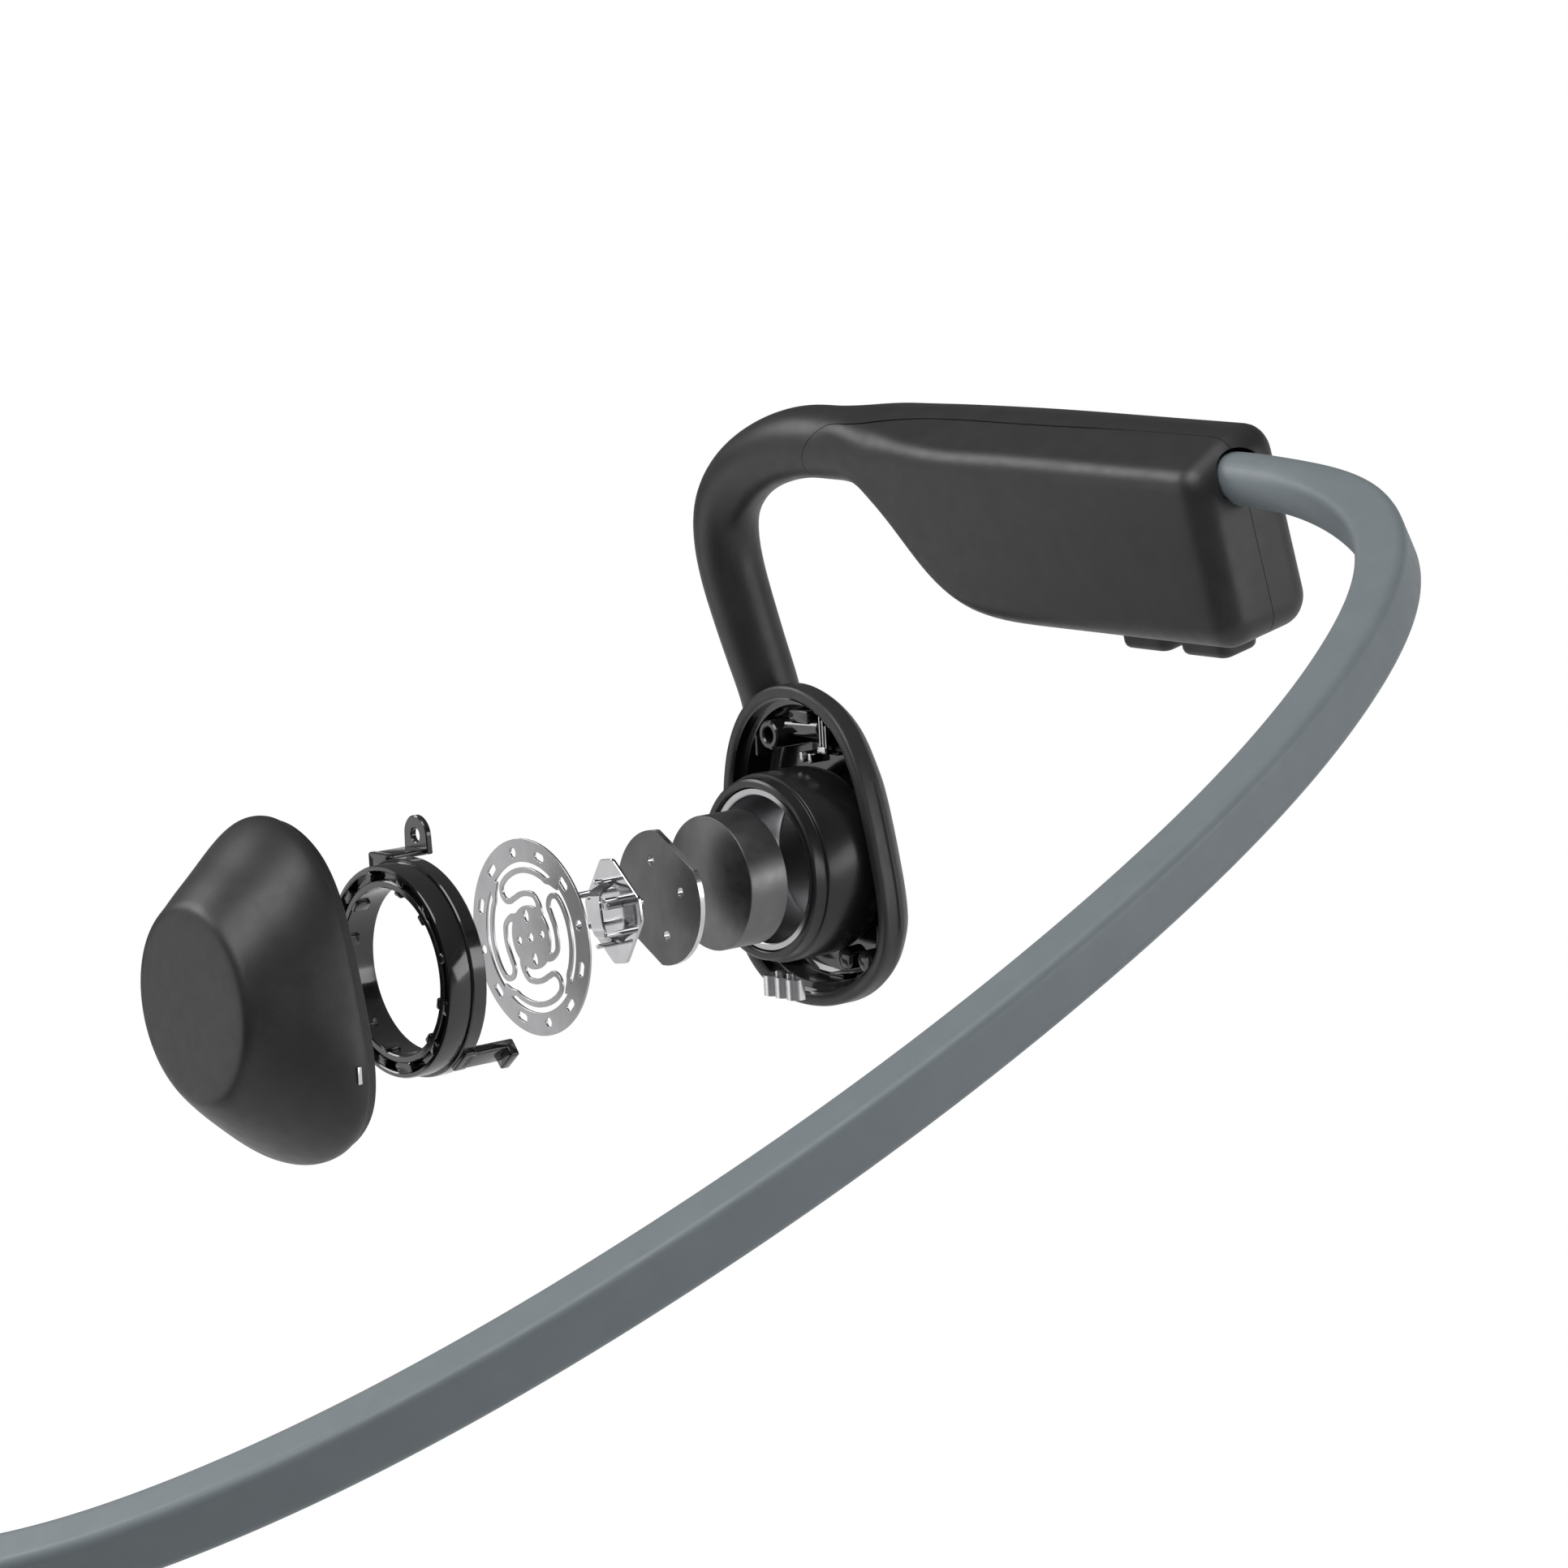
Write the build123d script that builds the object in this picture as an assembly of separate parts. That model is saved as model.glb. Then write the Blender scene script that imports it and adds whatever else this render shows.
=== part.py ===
"""Neckband bone conduction headphones with the right driver drawn out of its pod.

Millimetres. +X is the wearer's right, +Y forward, +Z up. The origin is the middle
of the neckband's back, on its lower flat.
"""
import math
import os

from build123d import *

# ---- neckband ----
BAND_RIGHT = [(69.45, 49.9), (73.25, 27.6), (54.3, 8.25), (17.1, -0.37)]
BAND_LEFT = [(-17.1, -0.37), (-54.3, 8.25), (-73.25, 27.6), (-75.81, 48.44)]
BAND_HEIGHT = 4.4
BAND_THICK = 4.2
BAND_Z = 2.2
BAND_CORNER = 1.3
BAND_STEPS = 40
BAND_REACH = 3.5
FLAT_END_Y = 36.0
END_RELIEF = 0.25
CORE_R = 0.75
BORE_R = 0.8
SIGNAL_R = 0.4
SIGNAL_OFFSET = 1.3

# ---- housing, in its own frame: f forward, h up, w outward ----
EXIT_POINT = (69.45, 49.9, 2.2)
SPLAY_DEG = 9.65
ROLL_DEG = -14.59
LEFT_SPLAY_DEG = -7.0
HOUSING_HALF = 5.0
WALL = 1.3
LID_GAP = 0.04
LID_END = 48.4
NOSE_START = 45.5
SIDE_PROFILE = [(-1.9, 3.0), (0.2, 3.75), (12.0, 3.9), (24.0, 3.95), (36.0, 3.9), (50.0, 3.7)]
SIDE_FRONT = [(50.0, -2.3), (45.4, -2.7), (42.2, -4.4), (39.0, -7.3), (36.0, -10.3), (32.6, -12.5)]
SIDE_REAR = [(28.0, -13.5), (1.0, -13.6), (-2.6, -12.4)]
PLAN_OUTER = [(28.0, 5.0), (36.0, 4.8), (43.0, 3.7), (50.0, 2.1)]
PLAN_INNER = [(50.0, -4.25), (43.0, -4.6), (34.0, -5.0)]

# ---- ear hook ----
HOOK_PATH = [
    (50.06, 0.7, -1.1),
    (52.5, 0.75, -1.25),
    (56.2, 0.3, -1.4),
    (60.7, -0.9, -1.5),
    (65.0, -3.2, -1.6),
    (67.7, -6.2, -1.8),
    (68.7, -10.3, -2.0),
    (68.2, -15.5, -2.2),
    (67.3, -20.7, -2.3),
    (66.9, -26.5, -2.4),
    (67.0, -29.0, -2.6),
]
HOOK_R = 3.1

# ---- pod, in its own frame: u rearward, v up, n towards the head ----
POD_POINT = (43.165, 103.515, -31.1)
POD_NORMAL = (-0.87548, -0.1651, 0.45419)
POD_U = (0.18531, -0.98268, 0.0)
POD_OUTLINE = [
    (-1.3, 15.2),
    (3.2, 14.5),
    (6.8, 12.2),
    (8.9, 8.8),
    (9.9, 4.0),
    (10.6, -1.0),
    (10.9, -5.5),
    (10.0, -9.6),
    (7.2, -13.0),
    (2.8, -15.0),
    (-2.0, -15.4),
    (-7.0, -14.5),
    (-10.9, -11.9),
    (-13.2, -7.8),
    (-13.9, -2.5),
    (-13.6, 3.0),
    (-12.7, 8.0),
    (-10.2, 12.1),
    (-6.0, 14.5),
]
POD_DEPTH = 6.4
POD_FLOOR = 4.4
RIM_WALL = 1.35
AXIS_UV = (-0.75, -0.9)

# ---- driver ----
CUP_R = 8.8
CUP_BORE = 7.6
CUP_TOP = 5.6
CUP_BASE = -4.35
CUP_FLOOR = -3.0
LINER_R = 7.55
LINER_BORE = 7.1
LINER_TOP = 5.2
LINER_BASE = 0.0
COIL = (7.0, 6.2, -2.95, -2.1)
MAGNET = (6.19, -1.8, 2.4)
YOKE_R = 6.15
YOKE = (2.46, 3.06)
YOKE_FLAT = 5.5
YOKE_FLAT_ANGLE = 60.0
HOLE_RING_R = 3.45
YOKE_HOLE_R = 0.45
BRACKET_BASE = 3.12
BRACKET_T = 0.35
BRACKET_TOP = 5.3
SPRING_R = 8.77
SPRING = (5.66, 5.9)
RIM_HOLES = 12
RIM_HOLE_R = 7.6
HOLE_TURN = 15.0
HAIRPIN_OUTER = 6.25
HAIRPIN_INNER = 3.3
RING_R = 9.6
RING_BORE = 7.6
RING_SKIRT = 9.0
RING_BACK = 4.4
RING_WEB = (5.96, 6.4)
RING_FRONT = 7.0
TAB_UV = (-4.6, 11.2)
TAB_R = 1.75
TAB_D = (0.75, 1.35)
BOSS_TOP = 0.7
STRIP_V = 9.75
ARM_ANGLE = -50.0

CLIP_POINT = (-4.6, -11.8, 2.2)

# ---- pad cover ----
PAD_LIP = (0.05, 0.95)
PAD_SECTIONS = [
    (0.95, 1.0, 1.0, 0.0, 0.0),
    (5.2, 0.985, 0.955, 0.0, -0.25),
    (8.2, 0.87, 0.82, -0.1, 0.1),
    (10.3, 0.69, 0.6, -0.15, 0.6),
]
PAD_LIP_INSET = 0.75
PAD_WALL = 1.1
RING_RELIEF = 9.85

# ---- how far each driver piece stands out at rest, along u, v, n ----
PAD_OUT = (1.35, -3.75, 56.25)
RING_OUT = (1.5, -2.9, 39.2)
SPRING_OUT = (1.58, -1.95, 27.13)
BRACKET_OUT = (1.43, -1.07, 20.4)
YOKE_OUT = (1.15, -0.71, 15.47)
MAGNET_OUT = (1.11, -0.28, 10.31)

# ---- controls ----
BUTTONS = {"volume_down_button": 12.5, "volume_up_button": 4.9}
BUTTON_SIZE = (7.2, 4.2)
BUTTON_PROUD = 2.3
BUTTON_GAP = 0.12
HOUSING_FLOOR = -13.55
PORT_F = 23.0
PIN_F = -4.5
PIN_H = -13.05
PIN_R = 0.3
MULTI_R = 4.6


# ---- frames ----
def housing_plane():
    splay = math.radians(SPLAY_DEG)
    roll = math.radians(ROLL_DEG)
    forward = Vector(-math.sin(splay), math.cos(splay), 0)
    side = Vector(math.cos(splay), math.sin(splay), 0)
    outward = side * math.cos(roll) + Vector(0, 0, 1) * math.sin(roll)
    return Plane(origin=EXIT_POINT, x_dir=forward, z_dir=outward)


HOUSING = housing_plane()
POD = Plane(origin=POD_POINT, x_dir=POD_U, z_dir=POD_NORMAL)


def in_housing(shape):
    return HOUSING.location * shape


def in_pod(shape, out=(0, 0, 0)):
    return POD.location * Pos(*out) * shape


def on_axis(shape):
    """Move a shape drawn about the driver's own axis to that axis in the pod."""
    return Pos(AXIS_UV[0], AXIS_UV[1], 0) * shape


def box_between(low, high):
    size = [high[i] - low[i] for i in range(3)]
    middle = [(high[i] + low[i]) / 2 for i in range(3)]
    return Pos(*middle) * Box(*size)


def tube(outer, inner, low, high):
    shape = Pos(0, 0, (low + high) / 2) * Cylinder(outer, high - low)
    if inner:
        shape -= Pos(0, 0, (low + high) / 2) * Cylinder(inner, high - low + 1)
    return shape


def disc(radius, low, high, at=(0, 0)):
    return Pos(at[0], at[1], (low + high) / 2) * Cylinder(radius, high - low)


def to_left(shape):
    """Mirror a right-side shape and open it outwards about the band's left end."""
    turn = SPLAY_DEG - LEFT_SPLAY_DEG
    x, y = BAND_LEFT[-1]
    spot = Pos(x, y) * Rot(0, 0, turn) * Pos(EXIT_POINT[0], -EXIT_POINT[1])
    return spot * mirror(shape, about=Plane.YZ)


# ---- neckband ----
def de_boor(t, control):
    """Point at t on the clamped cubic B-spline over the control points."""
    spans = len(control) - 3
    knots = [0.0] * 3 + [i / spans for i in range(spans + 1)] + [1.0] * 3
    k = min(int(t * spans), spans - 1) + 3
    d = [control[j + k - 3] for j in range(4)]
    for r in range(1, 4):
        for j in range(3, r - 1, -1):
            low = knots[j + k - 3]
            alpha = (t - low) / (knots[j + 1 + k - r] - low)
            d[j] = tuple((1 - alpha) * a + alpha * b for a, b in zip(d[j - 1], d[j]))
    return d[3]


def band_points():
    control = BAND_RIGHT + BAND_LEFT
    return [de_boor(i / BAND_STEPS, control) for i in range(BAND_STEPS + 1)]


def end_headings():
    """Forward directions of the band's right and left ends, seen from above."""
    right = math.radians(SPLAY_DEG)
    left = math.radians(LEFT_SPLAY_DEG)
    return (-math.sin(right), math.cos(right)), (math.sin(left), math.cos(left))


def with_runs(points):
    """Add the short straight runs into the two housings."""
    runs = []
    for (x, y), (across, along) in zip((points[0], points[-1]), end_headings()):
        runs.append((x + BAND_REACH * across, y + BAND_REACH * along))
    return [runs[0], *points, runs[1]]


def smooth_line(points, z):
    right, left = end_headings()
    tangents = [(-right[0], -right[1], 0), (left[0], left[1], 0)]
    return Spline([(x, y, z) for x, y in points], tangents=tangents)


def offset_points(points, distance):
    """Shift each point sideways from the line through its neighbours."""
    moved = []
    for i, (x, y) in enumerate(points):
        before = points[max(i - 1, 0)]
        after = points[min(i + 1, len(points) - 1)]
        dx, dy = after[0] - before[0], after[1] - before[1]
        length = math.hypot(dx, dy)
        moved.append((x - dy / length * distance, y + dx / length * distance))
    return moved


def neckband_sleeve(points):
    left = smooth_line(offset_points(points, BAND_THICK / 2), 0)
    right = smooth_line(offset_points(points, -BAND_THICK / 2), 0)
    ends = [Line(left @ 0, right @ 0), Line(left @ 1, right @ 1)]
    sleeve = extrude(make_face([left, right, *ends]), BAND_HEIGHT, dir=(0, 0, 1))
    long_edges = [edge for edge in sleeve.edges() if edge.length > 50]
    sleeve = fillet(long_edges, BAND_CORNER)
    return sleeve - box_between((-100, FLAT_END_Y, -1), (100, 70, END_RELIEF))


def neckband():
    points = with_runs(band_points())
    core_line = smooth_line(points, BAND_Z)
    signal_line = smooth_line(points, BAND_Z + SIGNAL_OFFSET)
    sleeve = neckband_sleeve(points)
    sleeve -= tube_along(core_line, BORE_R)
    sleeve -= tube_along(signal_line, SIGNAL_R + 0.05)
    return {
        "neckband_sleeve": sleeve,
        "neckband_core_wire": tube_along(core_line, CORE_R),
        "neckband_signal_wire": tube_along(signal_line, SIGNAL_R),
    }


# ---- housing ----
def side_face():
    """The housing's side view."""
    top = Spline(*SIDE_PROFILE)
    nose = Line(SIDE_PROFILE[-1], SIDE_FRONT[0])
    front = Spline(*SIDE_FRONT, SIDE_REAR[0])
    floor = Line(SIDE_REAR[0], SIDE_REAR[1])
    heel = Line(SIDE_REAR[1], SIDE_REAR[2])
    back = Line(SIDE_REAR[2], SIDE_PROFILE[0])
    return make_face([top, nose, front, floor, heel, back])


def side_cavity(inset):
    """The side view drawn in by a wall's thickness, with straight runs between corners."""
    loop = [*SIDE_PROFILE, *SIDE_FRONT, *SIDE_REAR]
    moved = []
    for i, (f, h) in enumerate(loop):
        before = Vector(*loop[i - 1])
        here = Vector(f, h)
        after = Vector(*loop[(i + 1) % len(loop)])
        one = (here - before).normalized()
        two = (after - here).normalized()
        inward = Vector(one.Y + two.Y, -one.X - two.X)
        bend = max(inward.length / 2, 0.6)
        moved.append(here + inward.normalized() * (inset / bend))
    return make_face(Polyline(*[(p.X, p.Y) for p in moved], close=True))


def end_face(inset=0.0):
    """The housing's end view as (h, w) points, with its soft inner shoulder."""
    points = [
        (-12.5, -5.0),
        (0.2, -5.0),
        (2.3, -3.7),
        (3.6, -0.5),
        (3.95, 2.0),
        (3.0, 4.2),
        (0.6, 5.0),
        (-11.0, 5.0),
        (-13.1, 3.2),
        (-13.6, 2.0),
        (-13.6, -3.8),
    ]
    face = make_face(Polyline(*points, close=True))
    return offset(face, -inset, kind=Kind.INTERSECTION) if inset else face


def plan_face(inset=0.0):
    """The housing seen from above, (f, w), narrowing towards the hook."""
    points = [(-8, 5), *PLAN_OUTER, *PLAN_INNER, (-8, -5)]
    face = make_face(Polyline(*points, close=True))
    return offset(face, -inset, kind=Kind.INTERSECTION) if inset else face


def housing_block(inset=0.0):
    side = extrude(side_cavity(inset) if inset else side_face(), 6, both=True)
    end_plane = Plane(origin=(20, 0, 0), x_dir=(0, 1, 0), z_dir=(1, 0, 0))
    end = extrude(end_plane.location * end_face(inset), 45, both=True)
    plan_plane = Plane(origin=(0, 0, 0), x_dir=(1, 0, 0), z_dir=(0, -1, 0))
    plan = extrude(plan_plane.location * plan_face(inset), 30, both=True)
    return side & end & plan


def largest(shape):
    solid = max(shape.solids(), key=lambda piece: piece.volume)
    return Solid(solid.wrapped)


def tube_along(path, radius):
    start = Plane(origin=path @ 0, z_dir=path % 0)
    return sweep(start.location * Circle(radius), path=path)


def band_socket():
    """Where the neckband's end passes into the housing, in the world frame."""
    mouth = Plane(origin=EXIT_POINT, z_dir=HOUSING.x_dir, x_dir=(0, 0, 1))
    opening = RectangleRounded(BAND_HEIGHT + 0.2, BAND_THICK + 0.2, BAND_CORNER + 0.1)
    return mouth.location * extrude(opening, 4.2, both=True)


def button_shape(f):
    """A raised key with a hidden flange that keeps it in the shell."""
    floor = HOUSING_FLOOR
    key = box_between(
        (f - BUTTON_SIZE[0] / 2, floor - BUTTON_PROUD, -BUTTON_SIZE[1] / 2),
        (f + BUTTON_SIZE[0] / 2, floor + WALL + 0.3, BUTTON_SIZE[1] / 2),
    )
    key = fillet(key.edges().filter_by(Axis.Y), 1.0)
    key = fillet(key.faces().sort_by(Axis.Y)[0].edges(), 0.6)
    flange = box_between(
        (f - BUTTON_SIZE[0] / 2, floor + WALL + 0.25, -2.9),
        (f + BUTTON_SIZE[0] / 2, floor + WALL + 0.75, 1.9),
    )
    return key + flange


def button_cut(f):
    grow = BUTTON_GAP
    return box_between(
        (f - BUTTON_SIZE[0] / 2 - grow, HOUSING_FLOOR - 1, -BUTTON_SIZE[1] / 2 - grow),
        (f + BUTTON_SIZE[0] / 2 + grow, HOUSING_FLOOR + WALL + 0.4, BUTTON_SIZE[1] / 2 + grow),
    )


def port_cut():
    """Opening for the charge socket's cover, with the hinge bar's two end holes."""
    opening = box_between((PORT_F - 5.3, -14, -2.1), (PORT_F + 5.2, -12.2, 2.1))
    return opening + Pos(PORT_F + PIN_F, PIN_H, 0) * Cylinder(PIN_R + 0.02, 5.6)


def housing_shells(right):
    shell = housing_block() - housing_block(WALL)
    nose = box_between((NOSE_START, -6, -6), (51, 6, 6))
    shell += housing_block() & nose
    shell -= hook_wire_bore()
    if right:
        for f in BUTTONS.values():
            shell -= button_cut(f)
        shell -= port_cut()
    lid = shell & box_between((-10, -20, -6), (LID_END, 8, -LID_GAP))
    outer = shell & box_between((-10, -20, LID_GAP), (60, 8, 6))
    outer += shell & box_between((LID_END + 0.1, -20, -6), (60, 8, LID_GAP))
    parts = [largest(in_housing(piece) - band_socket()) for piece in (outer, lid)]
    return parts


def hook_line():
    return Spline(*HOOK_PATH)


def hook_wire_line():
    return Spline((46.3, 0.9, -0.9), *HOOK_PATH)


def hook_wire_bore():
    return tube_along(hook_wire_line(), 0.68)


def hook():
    """Sleeve and springy core of the right ear hook."""
    sleeve = in_housing(tube_along(hook_line(), HOOK_R) - hook_wire_bore())
    sleeve &= in_housing(box_between((HOOK_PATH[0][0], -60, -20), (90, 20, 20)))
    sleeve -= in_pod(pod_block())
    return largest(sleeve), in_housing(tube_along(hook_wire_line(), 0.6))


def gasket():
    """Thin seal lying between the two shells, inside the walls."""
    ring = extrude(side_cavity(WALL + 0.2), 0.3, both=True)
    ring -= extrude(side_cavity(WALL + 0.9), 1, both=True)
    ring &= housing_block(WALL + 0.1) & box_between((1.5, -20, -1), (NOSE_START - 1.0, 8, 1))
    cut = in_housing(ring) - band_socket()
    cut -= in_housing(box_between((-5, -14, -3), (18, -10.5, 3)))
    cut -= in_housing(box_between((17, -14, -3), (29, -8, 3)))
    return largest(cut)


def screws_in_housing():
    screws = []
    for f, h in ((6.0, -7.4), (34.5, -6.5), (40.0, -1.0)):
        shank = Pos(f, h, -0.7) * Cylinder(0.5, 3.6)
        head = Pos(f, h, -2.8) * Cylinder(0.9, 0.6)
        screws.append(in_housing(shank + head))
    return screws


def electronics_right():
    board = box_between((8.5, -7.6, 1.6), (33.5, 0.4, 2.4))
    chip = box_between((24, -5, 1.0), (29, -0.5, 1.6))
    key_board = box_between((1.6, -10.4, -1.6), (16.4, -9.8, 1.6))
    switches = [
        in_housing(box_between((f - 1.4, -10.85, -1.2), (f + 1.4, -10.45, 1.2))) for f in BUTTONS.values()
    ]
    socket = box_between((PORT_F - 4.4, -12.1, -1.55), (PORT_F + 4.4, -6.4, 1.55))
    socket -= box_between((PORT_F - 4.0, -13, -1.2), (PORT_F + 4.0, -7.0, 1.2))
    tongue = box_between((PORT_F - 3.3, -11.6, -0.3), (PORT_F + 3.3, -7.0, 0.3))
    return {
        "main_board": in_housing(board),
        "radio_chip": in_housing(chip),
        "key_board": in_housing(key_board),
        "key_switches": Compound(children=switches),
        "charge_socket": in_housing(socket + tongue),
    }


def port_cover():
    """Soft flap flush with the housing's underside, on a thin hinge bar."""
    plate = box_between((PORT_F - 5.0, -13.6, -2.0), (PORT_F + 5.1, -12.5, 2.0))
    plate -= Pos(PORT_F + PIN_F, PIN_H, 0) * Cylinder(PIN_R + 0.06, 6)
    pin = Pos(PORT_F + PIN_F, PIN_H, 0) * Cylinder(PIN_R, 5.4)
    return in_housing(plate), in_housing(pin)


# ---- pod ----
def outline(scale_u=1.0, scale_v=1.0, shift=(0.0, 0.0)):
    middle = (-1.5, -0.1)
    points = []
    for u, v in POD_OUTLINE:
        across = middle[0] + (u - middle[0]) * scale_u + shift[0]
        along = middle[1] + (v - middle[1]) * scale_v + shift[1]
        points.append((across, along))
    return make_face(Spline(*points, periodic=True))


def outline_inset(amount):
    return outline(1 - amount / 12.2, 1 - amount / 15.2)


def pod_block():
    body = extrude(outline(), -POD_DEPTH)
    return fillet(body.faces().sort_by(Axis.Z)[0].edges(), 2.6)


def pod_shell():
    cavity = extrude(outline_inset(RIM_WALL), -POD_FLOOR)
    cavity = fillet(cavity.faces().sort_by(Axis.Z)[0].edges(), 1.0)
    shell = pod_block() - cavity
    shell = fillet(shell.edges().group_by(Axis.Z)[-1], 0.45)
    boss_u = AXIS_UV[0] + TAB_UV[0]
    boss_v = AXIS_UV[1] + TAB_UV[1]
    shell += tube(1.35, 0.65, -POD_FLOOR - 0.3, BOSS_TOP).moved(Location((boss_u, boss_v, 0)))
    for u in (2.6, 5.0):
        shell += disc(0.95, -POD_FLOOR - 0.3, -1.6, (u, -11.2))
    return shell


def cup():
    body = tube(CUP_R, 0, CUP_BASE, CUP_TOP)
    body = chamfer(body.edges().group_by(Axis.Z)[-1], 0.25)
    body -= disc(CUP_BORE, CUP_FLOOR, CUP_TOP + 1)
    return on_axis(body)


def liner():
    return on_axis(tube(LINER_R, LINER_BORE, LINER_BASE, LINER_TOP))


def coil():
    return on_axis(tube(*COIL))


def magnet():
    body = disc(MAGNET[0], MAGNET[1], MAGNET[2])
    return on_axis(chamfer(body.edges().group_by(Axis.Z)[-1], 0.15))


def hole_ring(radius, at_radius, count, low, high, start=0.0):
    holes = []
    for i in range(count):
        angle = math.radians(start + 360.0 * i / count)
        spot = (at_radius * math.cos(angle), at_radius * math.sin(angle))
        holes.append(disc(radius, low, high, spot))
    return holes


def yoke_plate():
    """Round plate with two opposite flats and four pin holes."""
    low, high = YOKE
    plate = disc(YOKE_R, low, high)
    plate &= Rot(0, 0, YOKE_FLAT_ANGLE) * box_between((-YOKE_FLAT, -20, 0), (YOKE_FLAT, 20, 10))
    for hole in hole_ring(YOKE_HOLE_R, HOLE_RING_R, 4, low - 1, high + 1, HOLE_TURN):
        plate -= hole
    return on_axis(plate)


def coil_bracket():
    """Lozenge plate with a folded arch and four short pins in front."""
    low = BRACKET_BASE
    high = low + BRACKET_T
    corners = [(0.7, 4.6), (3.3, 0.9), (3.3, -0.9), (0.7, -4.6)]
    corners += [(-u, v) for u, v in reversed(corners)]
    lozenge = make_face(Polyline(*corners, close=True))
    lozenge = fillet(lozenge.vertices(), 0.5)
    plate = Pos(0, 0, low) * extrude(lozenge, BRACKET_T)
    top = BRACKET_TOP
    foot = high - 0.05
    outside = [(-2.6, foot), (-1.9, top), (1.9, top), (2.6, foot)]
    inside = [(2.3, foot), (1.65, top - 0.3), (-1.65, top - 0.3), (-2.3, foot)]
    stand = Plane(origin=(0, 0, 0), x_dir=(0, 1, 0), z_dir=(1, 0, 0))
    arch = make_face(Polyline(*outside, *inside, close=True))
    body = plate + extrude(stand.location * arch, 1.1, both=True)
    for spot in ((-1.9, 1.3), (-1.9, -1.3), (1.9, 1.3), (1.9, -1.3)):
        body += disc(0.22, high - 0.05, top, spot)
    return on_axis(Rot(0, 0, HOLE_TURN - 10) * body)


def arc_points(radius, start, size):
    angles = [math.radians(start + size * part) for part in (0, 0.5, 1)]
    return [(radius * math.cos(angle), radius * math.sin(angle)) for angle in angles]


def arc_slot(radius, half_width, start, size):
    """A curved slot in the spring plate, round at both ends."""
    outside = arc_points(radius + half_width, start, size)
    inside = arc_points(radius - half_width, start, size)
    middle = arc_points(radius, start, size)
    edges = [ThreePointArc(*outside), ThreePointArc(*inside)]
    edges += [Line(inside[0], outside[0]), Line(inside[2], outside[2])]
    slot = make_face(edges)
    for end in (middle[0], middle[2]):
        slot += Pos(*end) * Circle(half_width)
    return slot


def hairpin_slots(start):
    """The slots that free one hairpin arm of the spring plate."""
    middle = (HAIRPIN_INNER + HAIRPIN_OUTER) / 2
    slots = arc_slot(HAIRPIN_OUTER, 0.17, start, 66)
    slots += arc_slot(HAIRPIN_INNER, 0.2, start + 8, 62)
    slots += arc_slot((middle + 0.1), 0.55, start + 6, 50)
    turn = Rot(0, 0, start + 68) * Pos(middle, 0) * SlotOverall(HAIRPIN_OUTER - HAIRPIN_INNER + 0.4, 0.4)
    return slots + turn


def spring_plate():
    face = Circle(SPRING_R)
    for i in range(RIM_HOLES):
        angle = HOLE_TURN + 360.0 / RIM_HOLES * i
        hole = SlotOverall(1.35, 0.75, rotation=90) if i % 3 else Circle(0.42)
        face -= Rot(0, 0, angle) * Pos(RIM_HOLE_R, 0, 0) * hole
    for i in range(4):
        face -= hairpin_slots(70 + 90 * i)
    for x, y in ((0, 0), (1.75, 0), (-1.75, 0), (0, 1.9), (0, -1.9)):
        face -= Rot(0, 0, HOLE_TURN) * Pos(x, y) * Circle(0.36)
    plate = Pos(0, 0, SPRING[0]) * extrude(face, SPRING[1] - SPRING[0])
    return on_axis(plate)


def ring_bracket():
    """Ring over the cup's mouth with a screwed tab above and a hooked arm below."""
    web_low, web_high = RING_WEB
    ring = tube(RING_R, RING_SKIRT, RING_BACK, RING_FRONT)
    ring += tube(RING_SKIRT + 0.1, RING_BORE, web_low, web_high)
    ring += tube(RING_BORE + 0.45, RING_BORE, web_low, RING_FRONT - 0.15)
    for lug in hole_ring(0.42, 8.5, 12, web_high - 0.1, RING_FRONT - 0.1, 15):
        ring += lug
    tab_u, tab_v = TAB_UV
    tab = box_between((tab_u - TAB_R, STRIP_V, TAB_D[0]), (tab_u + TAB_R, tab_v, TAB_D[1]))
    tab += disc(TAB_R, TAB_D[0], TAB_D[1], (tab_u, tab_v))
    strip = box_between((tab_u - 1.5, STRIP_V, TAB_D[0]), (tab_u + 1.5, STRIP_V + 0.6, RING_FRONT - 1.4))
    root = box_between((tab_u - 1.5, 7.6, 4.6), (tab_u + 1.5, STRIP_V + 0.6, RING_FRONT - 1.4))
    root -= disc(RING_SKIRT + 0.2, 0, 10)
    ring += tab + strip + root
    ring -= disc(0.6, TAB_D[0] - 1, TAB_D[1] + 1, TAB_UV)
    arm = box_between((RING_SKIRT + 0.15, -1.0, 0.2), (RING_R + 0.25, 1.0, RING_BACK + 0.6))
    arm += box_between((RING_R - 0.2, -1.0, 0.2), (RING_R + 1.0, 1.0, 0.8))
    ring += Rot(0, 0, ARM_ANGLE) * arm
    return on_axis(ring)


def pad_cover():
    sections = [Pos(0, 0, d) * outline(su, sv, (du, dv)) for d, su, sv, du, dv in PAD_SECTIONS]
    body = loft(sections)
    body = fillet(body.edges().group_by(Axis.Z)[-1], 1.2)
    lip_low, lip_high = PAD_LIP
    body += Pos(0, 0, lip_low) * extrude(outline_inset(PAD_LIP_INSET), lip_high - lip_low + 0.3)
    hollow_sections = []
    for d, su, sv, du, dv in PAD_SECTIONS:
        depth = d - 1.2 if d > 5 else d - 2
        narrow = PAD_WALL * 1.55
        face = outline(su - narrow / 12.2, sv - narrow / 15.2, (du, dv))
        hollow_sections.append(Pos(0, 0, depth) * face)
    body -= loft(hollow_sections)
    for shift in (0, -0.45):
        body -= on_axis(disc(RING_RELIEF, -1, RING_FRONT + 0.4, (0, shift)))
    return body


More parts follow.
